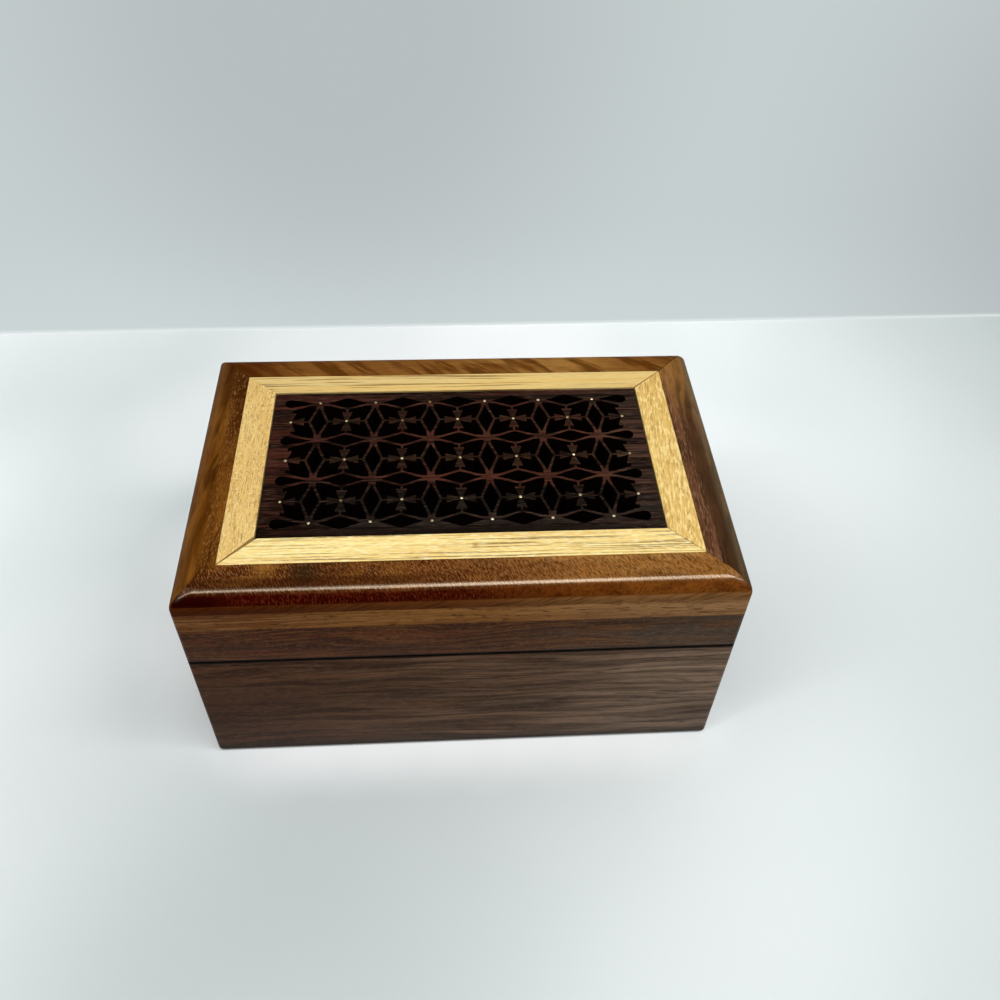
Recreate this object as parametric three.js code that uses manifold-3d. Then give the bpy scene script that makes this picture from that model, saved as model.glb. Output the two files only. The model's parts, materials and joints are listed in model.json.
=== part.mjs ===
// Hinged walnut trinket box with a mitred two-wood lid and a scroll-sawn fretwork panel.
// Millimetres, +Z up. The origin is the middle of the footprint, on the table. The front looks along -Y.
import * as THREE from "three";
import { mergeVertices } from "three/addons/utils/BufferGeometryUtils.js";
import Module from "manifold-3d";

const wasm = await Module();
wasm.setup();

// Driving dimensions of the box
const boxWidth = 178;
const boxDepth = 115;
const wallThickness = 9.5;
const bodyHeight = 56.4;
const lidGap = 0.6; // between the body and the closed lid
const lidRimHeight = 16.6;
const lidBoardHeight = 8;
const topFrameHeight = 7.9;
const cornerRadius = 1.4; // eased upright corners
const cornerSegments = 3;
const footRadius = 1.2; // eased lower edge of the body
const footSegments = 4;
const jointClearance = 0.3; // round a loose or let-in piece

// Bottom panel, held in a groove
const bottomThickness = 4;
const bottomHeight = 4.5; // from the table to the panel's underside
const grooveDepth = 4.5;
const grooveClearance = 0.5; // at the bottom of the groove, for the panel to swell
const feltThickness = 1.5;

// Lid top
const topFrameWidth = 13.1;
const topFrameRadius = 6.35; // router roundover
const topFrameSegments = 8;
const mapleWidth = 10.4;
const mapleBackWidth = 9; // the strip at the back is narrower
const backingFeltThickness = 1;
const panelRecess = 0.5; // the fretwork lies this far below the maple

// Fretwork
const columnPitch = 19.6; // between star centres along X
const rowPitch = 19.2; // and along Y
const barWidth = 1.1;
const openingWidth = 5.3; // of a lens or a diamond
const starTipGap = 5.1; // between the tips of two openings, across a star
const lensSegments = 6;
const lensRoundness = 0.3; // 0 for straight sides, 1 for a full curve
const teardropLength = 10.4; // the half lens at each end of a row
const teardropRadius = 2.1;
const teardropTip = 1.95; // from a star's centre to its teardrop's tip
const teardropSegments = 6;
const sideMargin = 3.2; // least solid wood beyond the teardrops
const rowMargin = 2.2; // least solid wood beyond the outer rows
const fanLength = 4.5; // of the four fans round each pin
const fanHalfWidth = 1.9;
const fanEndTaper = 0.4; // from the fan's widest point to its end
const neckHalfWidth = 0.45; // where a fan joins its bar
const pinBoss = 0.6; // half the solid square round a pin
const starReach = 1.25; // from a star's centre to the corner of each cell opening, in X and Y

// Hinges
const hingeLength = 25;
const hingeSpacing = 96; // between the two hinges' centres
const chamferDepth = 3; // the back edges' bevel, which stops the open lid
const openAngle = 95; // degrees, set by that bevel
const knuckleRadius = 1.6;
const knuckleCount = 5;
const knuckleGap = 0.2;
const knuckleSides = 20;
const hingePinRadius = 0.8;
const hingePinClearance = 0.08;
const leafThickness = 1;
const leafMargin = 1.5; // wood left between a leaf and the inner face
const screwEndMargin = 5; // from a leaf's end to the middle of its first screw
const screwsPerLeaf = 2;
const screwHeadRadius = 1.3;
const screwEdge = 0.5; // brass left between a screw's head and the leaf's inner edge
const screwHeadHeight = 0.7;
const screwShankRadius = 0.6;
const screwLength = 5.5;
const screwClearance = 0.1;
const screwSides = 12;
const slotWidth = 0.35;
const slotDepth = 0.3;

// Heights and places worked out from them
const lidBase = bodyHeight + lidGap;
const lidBoardBase = lidBase + lidRimHeight;
const topFrameBase = lidBoardBase + lidBoardHeight;
const lidTop = topFrameBase + topFrameHeight;
const hingeY = boxDepth / 2 - chamferDepth;
const hingeZ = bodyHeight + lidGap / 2;
const leafReach = wallThickness - chamferDepth - leafMargin; // from the pin's axis inwards
const mapleInset = topFrameWidth;
const panelInset = mapleInset + mapleWidth;
const panelBackInset = mapleInset + mapleBackWidth;
const panelWidth = boxWidth - 2 * (panelInset + jointClearance);
const panelDepth = boxDepth - panelInset - panelBackInset - 2 * jointClearance;
const panelY = (panelInset - panelBackInset) / 2; // its middle
const panelBase = topFrameBase + backingFeltThickness;
const panelTop = lidTop - panelRecess;
const rowEnd = teardropTip + teardropLength + sideMargin;
const latticeColumns = 1 + Math.floor((panelWidth - 2 * rowEnd) / columnPitch);
const latticeRows = 1 + Math.floor((panelDepth - openingWidth - 2 * rowMargin) / rowPitch);
const hingePlaces = [-hingeSpacing / 2, hingeSpacing / 2];
const screwY = hingeY - leafReach + screwEdge + screwHeadRadius;

// Materials, from the photograph
const wood = (color, roughness) => new THREE.MeshStandardMaterial({ color, roughness, metalness: 0 });
const bodyWalnut = wood(0x5b463b, 0.5);
const rimWalnut = wood(0x52392f, 0.5);
const boardWalnut = wood(0x70543a, 0.5);
const figuredWalnut = wood(0x6b3d1e, 0.3);
const paleMaple = wood(0xe2c682, 0.5);
const fretRosewood = wood(0x35211b, 0.45);
const blackFelt = wood(0x0a0909, 1);
const bottomPly = wood(0x7a5c42, 0.6);
const brass = new THREE.MeshStandardMaterial({ color: 0xc9a24c, roughness: 0.3, metalness: 1 });

// Solids

// A three.js geometry as a closed solid that can be joined and cut.
function solidOf(geometry) {
  const bare = geometry.index ? geometry.toNonIndexed() : geometry.clone();
  for (const name of Object.keys(bare.attributes)) {
    if (name !== "position") bare.deleteAttribute(name);
  }
  const merged = mergeVertices(bare, 1e-4);
  return new wasm.Manifold(
    new wasm.Mesh({
      numProp: 3,
      vertProperties: merged.attributes.position.array,
      triVerts: new Uint32Array(merged.index.array),
    }),
  );
}

// A solid back as a three.js geometry with flat faces.
function geometryOf(solid) {
  const mesh = solid.getMesh();
  const geometry = new THREE.BufferGeometry();
  geometry.setAttribute("position", new THREE.BufferAttribute(new Float32Array(mesh.vertProperties), 3));
  geometry.setIndex(new THREE.BufferAttribute(new Uint32Array(mesh.triVerts), 1));
  const flat = geometry.toNonIndexed();
  flat.computeVertexNormals();
  return flat;
}

function box(width, depth, height, x, y, z) {
  return new THREE.BoxGeometry(width, depth, height).translate(x, y, z);
}

// A cylinder along X, centred on a hinge's axis.
function axleCylinder(radius, length, x) {
  return new THREE.CylinderGeometry(radius, radius, length, knuckleSides)
    .rotateZ(Math.PI / 2)
    .translate(x, hingeY, hingeZ);
}

// A closed outline as a three.js shape, from [x, y] points.
function outline(points) {
  return new THREE.Shape(points.map(([x, y]) => new THREE.Vector2(x, y)));
}

// Points of a quarter circle from one angle to another, in degrees.
function arc(centreX, centreY, radius, from, to, segments) {
  return Array.from({ length: segments + 1 }, (_, i) => {
    const angle = ((from + ((to - from) * i) / segments) * Math.PI) / 180;
    return [centreX + radius * Math.cos(angle), centreY + radius * Math.sin(angle)];
  });
}

// An upright prism with the box's footprint and eased corners.
function footprint(base, height) {
  const x = boxWidth / 2 - cornerRadius;
  const y = boxDepth / 2 - cornerRadius;
  const shape = outline([
    ...arc(x, y, cornerRadius, 0, 90, cornerSegments),
    ...arc(-x, y, cornerRadius, 90, 180, cornerSegments),
    ...arc(-x, -y, cornerRadius, 180, 270, cornerSegments),
    ...arc(x, -y, cornerRadius, 270, 360, cornerSegments),
  ]);
  return new THREE.ExtrudeGeometry(shape, { depth: height, bevelEnabled: false }).translate(0, 0, base);
}

// Each side of the box: its turn about Z from the front, and the lengths along and across it.
const sides = {
  front: { turn: 0, along: boxWidth, across: boxDepth },
  right: { turn: Math.PI / 2, along: boxDepth, across: boxWidth },
  back: { turn: Math.PI, along: boxWidth, across: boxDepth },
  left: { turn: -Math.PI / 2, along: boxDepth, across: boxWidth },
};

// The corners of a rectangle within the box's plan, from the front left one and in the order of the sides.
function planCorners(inset, backInset) {
  const x = boxWidth / 2 - inset;
  const front = inset - boxDepth / 2;
  const back = boxDepth / 2 - backInset;
  return [[-x, front], [x, front], [x, back], [-x, back]];
}

// A rail on one side, from a profile of [inset, height] points, with a 45 degree mitre at each end.
function mitredRail(profile, side) {
  const { turn, along, across } = sides[side];
  const rail = new THREE.ExtrudeGeometry(outline(profile), { depth: 1, bevelEnabled: false });
  const position = rail.attributes.position;
  for (let i = 0; i < position.count; i++) {
    const inset = position.getX(i);
    const end = 2 * position.getZ(i) - 1;
    position.setXYZ(i, end * (along / 2 - inset), inset - across / 2, position.getY(i));
  }
  return rail.rotateZ(turn);
}

// The bevel along the back edges, on the body below the gap and on the lid above it.
function backBevel(direction) {
  const slope = Math.tan((openAngle / 2 / 180) * Math.PI);
  const reach = chamferDepth + 1;
  const face = hingeZ + (direction * lidGap) / 2;
  const spare = hingeZ - direction * lidGap;
  const points = [
    [hingeY, face],
    [hingeY + reach, face + direction * reach * slope],
    [hingeY + reach, spare],
    [hingeY, spare],
  ];
  if (direction > 0) points.reverse();
  const bevel = new THREE.ExtrudeGeometry(outline(points), { depth: boxWidth + 2, bevelEnabled: false });
  // The shape's X and Y become the box's Y and Z, and its depth runs along X.
  return solidOf(bevel.rotateY(Math.PI / 2).rotateX(Math.PI / 2).translate(-boxWidth / 2 - 1, 0, 0));
}

// Seats for the two hinges' leaves and knuckles, and holes for their screws.
function hingeSeats(direction) {
  const length = hingeLength + 2 * jointClearance;
  const face = hingeZ + (direction * lidGap) / 2;
  const plateDepth = leafReach + jointClearance + chamferDepth;
  const plateY = hingeY - leafReach - jointClearance + plateDepth / 2;
  const knuckleWidth = knuckleRadius + jointClearance + chamferDepth;
  const knuckleY = hingeY - knuckleRadius - jointClearance + knuckleWidth / 2;
  const knuckleHeight = knuckleRadius + jointClearance;
  return hingePlaces.flatMap((x) => [
    solidOf(box(length, plateDepth, 2 * leafThickness, x, plateY, face)),
    solidOf(box(length, knuckleWidth, knuckleHeight, x, knuckleY, hingeZ + (direction * knuckleHeight) / 2)),
    ...screwPlaces(x).map((screwX) => solidOf(screwForm(screwClearance, screwX, direction))),
  ]);
}

function screwPlaces(hingeX) {
  const reach = hingeLength / 2 - screwEndMargin;
  return Array.from({ length: screwsPerLeaf }, (_, i) => hingeX + ((2 * i) / (screwsPerLeaf - 1) - 1) * reach);
}

// A countersunk screw, or its hole when it has a clearance. It points away from the gap.
function screwForm(clearance, x, direction) {
  const top = clearance ? clearance + lidGap / 2 : 0;
  const head = screwHeadRadius + clearance;
  const shank = screwShankRadius + clearance;
  const profile = [
    [0, top],
    [head, top],
    [head, -clearance / 2],
    [shank, -screwHeadHeight - clearance / 2],
    [shank, -screwLength + shank],
    [0, -screwLength - clearance],
  ];
  const points = profile.reverse().map(([radius, height]) => new THREE.Vector2(radius, height));
  const screw = new THREE.LatheGeometry(points, screwSides).rotateX(Math.PI / 2);
  if (direction > 0) screw.rotateX(Math.PI);
  return screw.translate(x, screwY, hingeZ + (direction * lidGap) / 2);
}

// Pieces

const group = new THREE.Group();

function add(name, geometry, material) {
  const mesh = new THREE.Mesh(geometry, material);
  mesh.name = name;
  group.add(mesh);
}

// One layer of four mitred rails within the footprint, with further cuts on the sides that have them.
function addRails(prefix, profile, material, base, height, cuts = {}) {
  const around = solidOf(footprint(base, height));
  for (const side of Object.keys(sides)) {
    const rail = solidOf(mitredRail(profile, side)).intersect(around);
    const cut = (cuts[side] ?? []).reduce((rest, cutter) => rest.subtract(cutter), rail);
    add(`${prefix}_${side}`, geometryOf(cut), material);
  }
}

// Body

function addBody() {
  const grooveTop = bottomHeight + bottomThickness;
  const grooveInset = wallThickness - grooveDepth;
  const wallProfile = [
    ...arc(footRadius, footRadius, footRadius, 180, 270, footSegments),
    [wallThickness, 0],
    [wallThickness, bottomHeight],
    [grooveInset, bottomHeight],
    [grooveInset, grooveTop],
    [wallThickness, grooveTop],
    [wallThickness, bodyHeight],
    [0, bodyHeight],
  ];
  const bevel = backBevel(-1);
  addRails("body", wallProfile, bodyWalnut, 0, bodyHeight, {
    back: [bevel, ...hingeSeats(-1)],
    left: [bevel],
    right: [bevel],
  });
  const panelEdge = 2 * (grooveInset + grooveClearance);
  add(
    "body_bottom_panel",
    box(boxWidth - panelEdge, boxDepth - panelEdge, bottomThickness, 0, 0, bottomHeight + bottomThickness / 2),
    bottomPly,
  );
  const feltEdge = 2 * (wallThickness + jointClearance);
  add(
    "body_floor_felt",
    box(boxWidth - feltEdge, boxDepth - feltEdge, feltThickness, 0, 0, grooveTop + feltThickness / 2),
    blackFelt,
  );
}

// Lid

function addLid() {
  const rimProfile = [
    [0, lidBase],
    [wallThickness, lidBase],
    [wallThickness, lidBoardBase],
    [0, lidBoardBase],
  ];
  const bevel = backBevel(1);
  addRails("lid_rim", rimProfile, rimWalnut, lidBase, lidRimHeight, {
    back: [bevel, ...hingeSeats(1)],
    left: [bevel],
    right: [bevel],
  });
  add("lid_board", footprint(lidBoardBase, lidBoardHeight), boardWalnut);

  const round = arc(topFrameRadius, lidTop - topFrameRadius, topFrameRadius, 90, 180, topFrameSegments);
  const frameProfile = [[0, topFrameBase], [topFrameWidth, topFrameBase], [topFrameWidth, lidTop], ...round];
  addRails("top_frame", frameProfile, figuredWalnut, topFrameBase, topFrameHeight);

  const outer = planCorners(mapleInset, mapleInset);
  const inner = planCorners(panelInset, panelBackInset);
  Object.keys(sides).forEach((side, i) => {
    const next = (i + 1) % outer.length;
    const plan = outline([outer[i], outer[next], inner[next], inner[i]]);
    const strip = new THREE.ExtrudeGeometry(plan, { depth: topFrameHeight, bevelEnabled: false });
    add(`maple_frame_${side}`, strip.translate(0, 0, topFrameBase), paleMaple);
  });
  add(
    "fret_backing_felt",
    box(panelWidth, panelDepth, backingFeltThickness, 0, panelY, topFrameBase + backingFeltThickness / 2),
    blackFelt,
  );
  add("fret_panel", fretPanel(), fretRosewood);
}

// Fretwork: a grid of stars joined by lens and diamond openings, with a cross of four fans round
// a pin in the middle of each cell. An outline is a closed list of [x, y] points.

// One side of an opening, from its first tip to just before the other.
function bulge(length, height, roundness, segments) {
  return Array.from({ length: segments }, (_, i) => {
    const along = -1 + (2 * i) / segments;
    const straight = 1 - Math.abs(along);
    const round = Math.cos((along * Math.PI) / 2) ** 2;
    return [(along * length) / 2, height * (straight + (round - straight) * roundness)];
  });
}

function lensOpening() {
  const upper = bulge(columnPitch - starTipGap, openingWidth / 2, lensRoundness, lensSegments);
  return [...upper, ...upper.map(([x, y]) => [-x, -y])];
}

function diamondOpening() {
  const side = bulge(rowPitch - starTipGap, openingWidth / 2, 0, 2);
  return [...side, ...side.map(([x, y]) => [-x, -y])].map(([x, y]) => [-y, x]);
}

// Half a lens with a round outer end, pointing along +X from its tip at the star.
function teardropOpening() {
  const centre = teardropLength - teardropRadius;
  return [[0, 0], ...arc(centre, 0, teardropRadius, -105, 105, teardropSegments)];
}

// The edge of a cell opening along one fan: [distance along the fan's axis, distance from it].
// It runs round the fan's end, along the neck and up the bar that the neck joins.
function fanEdge(halfPitch, halfCross) {
  const end = fanLength + fanEndTaper;
  const barFace = halfPitch - openingWidth / 2 - barWidth;
  const barSlope = openingWidth / (2 * halfCross - starTipGap);
  const barEnd = (halfCross - starReach) * 0.75;
  return [
    [fanLength, fanHalfWidth],
    [end, fanHalfWidth - fanEndTaper],
    [end - fanEndTaper / 2, neckHalfWidth],
    [barFace + barSlope * neckHalfWidth, neckHalfWidth],
    [barFace + barSlope * barEnd, barEnd],
  ];
}

// The upper right of the four openings in a cell, from the cell's centre.
function cellOpening() {
  const lower = fanEdge(columnPitch / 2, rowPitch / 2);
  const upper = fanEdge(rowPitch / 2, columnPitch / 2).map(([x, y]) => [y, x]);
  const corner = [columnPitch / 2 - starReach, rowPitch / 2 - starReach];
  return [[pinBoss, pinBoss], ...lower, corner, ...upper.reverse()];
}

function placed(points, x, y, flipX = 1, flipY = 1) {
  const moved = points.map(([px, py]) => [x + px * flipX, y + py * flipY]);
  return flipX * flipY < 0 ? moved.reverse() : moved;
}

function fretOpenings() {
  const openings = [];
  const starX = (column) => (column - (latticeColumns - 1) / 2) * columnPitch;
  const starY = (row) => panelY + (row - (latticeRows - 1) / 2) * rowPitch;
  for (let row = 0; row < latticeRows; row++) {
    for (let column = 0; column < latticeColumns - 1; column++) {
      openings.push(placed(lensOpening(), starX(column + 0.5), starY(row)));
    }
    openings.push(placed(teardropOpening(), starX(0) - teardropTip, starY(row), -1));
    openings.push(placed(teardropOpening(), starX(latticeColumns - 1) + teardropTip, starY(row)));
  }
  for (let row = 0; row < latticeRows - 1; row++) {
    for (let column = 0; column < latticeColumns; column++) {
      openings.push(placed(diamondOpening(), starX(column), starY(row + 0.5)));
    }
    // A cell's four openings lie round a point between two columns. The cells beyond the first and
    // the last column have only the two on the columns' side.
    for (let cell = -1; cell < latticeColumns; cell++) {
      for (const flipX of [-1, 1]) {
        const outside = (cell === -1 && flipX < 0) || (cell === latticeColumns - 1 && flipX > 0);
        if (outside) continue;
        for (const flipY of [-1, 1]) {
          openings.push(placed(cellOpening(), starX(cell + 0.5), starY(row + 0.5), flipX, flipY));
        }
      }
    }
  }
  return openings;
}

function fretPanel() {
  const depth = panelTop - panelBase;
  const blank = box(panelWidth, panelDepth, depth, 0, panelY, panelBase + depth / 2);
  const openings = fretOpenings().map((points) => {
    const opening = new THREE.ExtrudeGeometry(outline(points), { depth: depth + 2, bevelEnabled: false });
    return solidOf(opening.translate(0, 0, panelBase - 1));
  });
  return geometryOf(wasm.Manifold.difference([solidOf(blank), ...openings]));
}

// Hinges

// Segments of a hinge's barrel: the body's leaf has the first, third and last.
function knucklePlaces(first) {
  const pitch = hingeLength / knuckleCount;
  const places = [];
  for (let i = first; i < knuckleCount; i += 2) {
    places.push((i - (knuckleCount - 1) / 2) * pitch);
  }
  return places;
}

// One leaf: a plate let into the wood, its knuckles, and countersunk holes.
function hingeLeaf(x, direction) {
  const pitch = hingeLength / knuckleCount;
  const own = knucklePlaces(direction < 0 ? 0 : 1);
  const other = knucklePlaces(direction < 0 ? 1 : 0);
  const plateZ = hingeZ + direction * (lidGap / 2 + leafThickness / 2);
  let leaf = solidOf(box(hingeLength, leafReach, leafThickness, x, hingeY - leafReach / 2, plateZ));
  for (const place of other) {
    leaf = leaf.subtract(solidOf(axleCylinder(knuckleRadius + jointClearance, pitch + knuckleGap, x + place)));
  }
  for (const place of own) {
    leaf = leaf.add(solidOf(axleCylinder(knuckleRadius, pitch - knuckleGap, x + place)));
  }
  leaf = leaf.subtract(solidOf(axleCylinder(hingePinRadius + hingePinClearance, hingeLength + 1, x)));
  for (const screwX of screwPlaces(x)) {
    leaf = leaf.subtract(solidOf(screwForm(screwClearance, screwX, direction)));
  }
  return geometryOf(leaf);
}

function hingeScrew(x, direction) {
  const screw = solidOf(screwForm(0, x, direction));
  const face = hingeZ + (direction * lidGap) / 2;
  const slot = box(slotWidth, 4 * screwHeadRadius, 2 * slotDepth, x, screwY, face);
  return geometryOf(screw.subtract(solidOf(slot)));
}

function addHinges() {
  const leaves = { body: -1, lid: 1 };
  for (const x of hingePlaces) {
    const hinge = `hinge_${x < 0 ? "left" : "right"}`;
    for (const [owner, direction] of Object.entries(leaves)) {
      add(`${hinge}_${owner}_leaf`, hingeLeaf(x, direction), brass);
      screwPlaces(x).forEach((screwX, i) => {
        add(`${hinge}_${owner}_screw_${i + 1}`, hingeScrew(screwX, direction), brass);
      });
    }
    add(`${hinge}_pin`, axleCylinder(hingePinRadius, hingeLength, x), brass);
  }
}

addBody();
addLid();
addHinges();

export default group;
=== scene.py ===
import json
import math
import random

import bmesh
import bpy
from mathutils import Matrix, Vector

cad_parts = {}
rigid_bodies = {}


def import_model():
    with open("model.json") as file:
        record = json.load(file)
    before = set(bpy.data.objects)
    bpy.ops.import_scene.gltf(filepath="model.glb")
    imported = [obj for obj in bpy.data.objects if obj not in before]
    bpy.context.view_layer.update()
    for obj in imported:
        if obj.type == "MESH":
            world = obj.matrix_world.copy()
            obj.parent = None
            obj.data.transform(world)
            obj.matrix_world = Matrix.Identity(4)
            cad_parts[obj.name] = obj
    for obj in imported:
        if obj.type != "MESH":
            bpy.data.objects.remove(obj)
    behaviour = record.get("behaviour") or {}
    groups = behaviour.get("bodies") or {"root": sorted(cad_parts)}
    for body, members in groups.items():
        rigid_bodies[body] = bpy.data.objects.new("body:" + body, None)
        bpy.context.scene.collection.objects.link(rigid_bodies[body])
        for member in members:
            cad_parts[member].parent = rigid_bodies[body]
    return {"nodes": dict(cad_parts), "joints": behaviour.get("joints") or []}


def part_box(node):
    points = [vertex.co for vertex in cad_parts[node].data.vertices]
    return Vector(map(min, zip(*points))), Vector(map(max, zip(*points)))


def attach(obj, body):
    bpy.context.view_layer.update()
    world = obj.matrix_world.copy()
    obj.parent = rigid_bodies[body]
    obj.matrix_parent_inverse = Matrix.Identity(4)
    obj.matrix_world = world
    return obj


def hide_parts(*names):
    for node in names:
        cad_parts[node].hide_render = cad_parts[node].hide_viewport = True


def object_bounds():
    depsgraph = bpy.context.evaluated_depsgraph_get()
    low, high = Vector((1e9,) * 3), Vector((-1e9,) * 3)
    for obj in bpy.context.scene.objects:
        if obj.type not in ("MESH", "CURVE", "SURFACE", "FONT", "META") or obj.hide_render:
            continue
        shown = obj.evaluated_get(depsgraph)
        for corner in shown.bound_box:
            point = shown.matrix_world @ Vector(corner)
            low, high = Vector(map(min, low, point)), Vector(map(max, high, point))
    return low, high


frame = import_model()
cadLow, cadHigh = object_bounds()
print("frame loaded:", len(frame["nodes"]), "nodes")

mm = 0.001
boxWidth = (cadHigh.x - cadLow.x) / mm
boxDepth = (cadHigh.y - cadLow.y) / mm

# each side's turn about Z from the front, its length and the depth it closes
sides = {
    "front": (0, boxWidth, boxDepth),
    "right": (90, boxDepth, boxWidth),
    "back": (180, boxWidth, boxDepth),
    "left": (-90, boxDepth, boxWidth),
}
order = list(sides)
sideAfter = dict(zip(order, order[1:] + order[:1]))
sideBefore = {after: side for side, after in sideAfter.items()}


# ---- helpers


def hexColour(text):
    channels = [int(text[i:i + 2], 16) / 255 for i in (0, 2, 4)]
    return tuple(c / 12.92 if c <= 0.04045 else ((c + 0.055) / 1.055) ** 2.4 for c in channels) + (1,)


# adds a node, a shader node where the kind doesn't say another; a link is a node (its first output), a
# (node, output) pair, a list of nodes for one input, or a plain value
def addNode(tree, kind, links={}, **settings):
    node = tree.nodes.new(kind if "Node" in kind else "ShaderNode" + kind)
    for key, value in settings.items():
        setattr(node, key, value)
    for key, value in links.items():
        if isinstance(value, bpy.types.Node):
            tree.links.new(value.outputs[0], node.inputs[key])
        elif isinstance(value, list):
            for source in value:
                tree.links.new(source.outputs[0], node.inputs[key])
        elif isinstance(value, tuple) and isinstance(value[0], bpy.types.Node):
            tree.links.new(value[0].outputs[value[1]], node.inputs[key])
        else:
            node.inputs[key].default_value = value
    return node


def newMaterial(name):
    material = bpy.data.materials.new(name)
    material.use_nodes = True
    material.node_tree.nodes.clear()
    return material, material.node_tree


# the mesh of what was drawn in millimetres, turned about Z by degrees
def meshFrom(work, name, turn=0):
    bmesh.ops.recalc_face_normals(work, faces=work.faces)
    work.transform(Matrix.Rotation(math.radians(turn), 4, "Z") @ Matrix.Scale(mm, 4))
    mesh = bpy.data.meshes.new(name)
    work.to_mesh(mesh)
    work.free()
    return mesh


def meshObject(name, mesh, material=None):
    piece = bpy.data.objects.new(name, mesh)
    bpy.context.scene.collection.objects.link(piece)
    if material:
        mesh.materials.clear()
        mesh.materials.append(material)
    return piece


def smoothByAngle(mesh, degrees=35):
    mesh.shade_smooth()
    mesh.set_sharp_from_angle(angle=math.radians(degrees))


# gives another finish to the faces whose middles lie between two heights, in millimetres; near the piece's
# ends, from x = "corner" on, it reaches down to "cornerLow"
def finishBetween(piece, material, low, high, corner, cornerLow):
    piece.data.materials.append(material)
    for face in piece.data.polygons:
        middle = face.center / mm
        if face.material_index == 0 and (cornerLow if abs(middle.x) > corner else low) < middle.z < high:
            face.material_index = len(piece.data.materials) - 1


def place(piece, body, slotName, *nodes):
    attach(piece, body)
    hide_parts(*nodes)


# replaces the object's mesh by what its modifiers make of it
def applyModifiers(piece):
    shown = piece.evaluated_get(bpy.context.evaluated_depsgraph_get())
    made = bpy.data.meshes.new_from_object(shown)
    piece.modifiers.clear()
    piece.data = made


# the low and the high corner of a CAD node's box, in millimetres
def cornersOf(node):
    return [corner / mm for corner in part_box(node)]


# the heights of a front rail, and how far its two faces lie behind the box's front
def railLayer(node):
    low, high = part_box(node)
    return {
        "base": low.z / mm,
        "top": high.z / mm,
        "outer": (low.y - cadLow.y) / mm,
        "inner": (high.y - cadLow.y) / mm,
    }


# points of an arc as (inset, height)
def arcPoints(inset, height, radius, start, end, steps):
    angles = [math.radians(start + (end - start) * i / steps) for i in range(steps + 1)]
    return [(inset + radius * math.cos(a), height + radius * math.sin(a)) for a in angles]


# a rail with a mitre at each end: the profile is a loop of (inset, height, radius of the plan's corner, or
# one radius for each end), the gaps are how open each mitre is, (at the outer edge, at the inner edge), for
# both ends, and the slopes are how far each mitre runs along the rail for a step across it
def mitredRail(name, side, profile, gaps, material, slopes=(1, 1)):
    turn, along, across = sides[side]
    cornerSteps = 6
    first = min(p[0] for p in profile)
    width = max(p[0] for p in profile) - first
    work = bmesh.new()
    rows = []
    for inset, height, radii in profile:
        row = []
        for end, direction in enumerate((-1, 1)):
            gap, slope = gaps[end], slopes[end]
            radius = radii[end] if isinstance(radii, tuple) else radii
            y = across / 2 - inset - radius
            opening = gap[0] + (gap[1] - gap[0]) * (inset - first) / width
            x = direction * (along / 2 - first - (inset - first) * slope - radius - opening)
            start = 225 if direction < 0 else 270
            for i in range(cornerSteps + 1):
                a = math.radians(start + 45 * i / cornerSteps)
                row.append(work.verts.new((x + radius * math.cos(a), radius * math.sin(a) - y, height)))
        rows.append(row)
    for i, row in enumerate(rows):
        following = rows[(i + 1) % len(rows)]
        for j in range(len(row) - 1):
            work.faces.new((row[j], row[j + 1], following[j + 1], following[j]))
    for j in (0, -1):
        cap = work.faces.new([row[j] for row in rows])
        cap.material_index = 1
        bmesh.ops.triangulate(work, faces=[cap], ngon_method="EAR_CLIP")
    bmesh.ops.remove_doubles(work, verts=work.verts, dist=1e-4)
    bmesh.ops.dissolve_degenerate(work, edges=work.edges, dist=1e-4)
    mesh = meshFrom(work, name, turn)
    smoothByAngle(mesh)
    rail = meshObject(name, mesh, material)
    # the mitre faces take the glue and its painted shade
    mesh.materials.append(mitreGlueAndShade)
    return rail


# a copy of a CAD node with its doubles merged and its round faces smooth
def finerCopy(name, node, material, ease=0.0):
    mesh = frame["nodes"][node].data.copy()
    work = bmesh.new()
    work.from_mesh(mesh)
    bmesh.ops.remove_doubles(work, verts=work.verts, dist=1e-6)
    bmesh.ops.dissolve_limit(work, angle_limit=math.radians(1), verts=work.verts, edges=work.edges)
    work.to_mesh(mesh)
    work.free()
    piece = meshObject(name, mesh, material)
    if ease:
        bevel = piece.modifiers.new("easedEdges", "BEVEL")
        bevel.width = ease * mm
        bevel.segments = 2
        bevel.limit_method = "ANGLE"
        bevel.angle_limit = math.radians(50)
        applyModifiers(piece)
    smoothByAngle(piece.data)
    return piece


# ---- camera, floor, wall and light

camera = {
    "place": (-0.00698, -0.23551, 0.31998),
    "turn": (43.152, -1.634, -3.388),
    "lens": 34.805,
    "sensor": 36,
    "nearest": 0.01,
}
cameraData = bpy.data.cameras.new("camera")
cameraData.lens = camera["lens"]
cameraData.sensor_width = camera["sensor"]
cameraData.clip_start = camera["nearest"]
cameraObject = bpy.data.objects.new("camera", cameraData)
cameraObject.location = camera["place"]
cameraObject.rotation_euler = [math.radians(a) for a in camera["turn"]]
bpy.context.scene.collection.objects.link(cameraObject)
bpy.context.scene.camera = cameraObject

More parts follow.
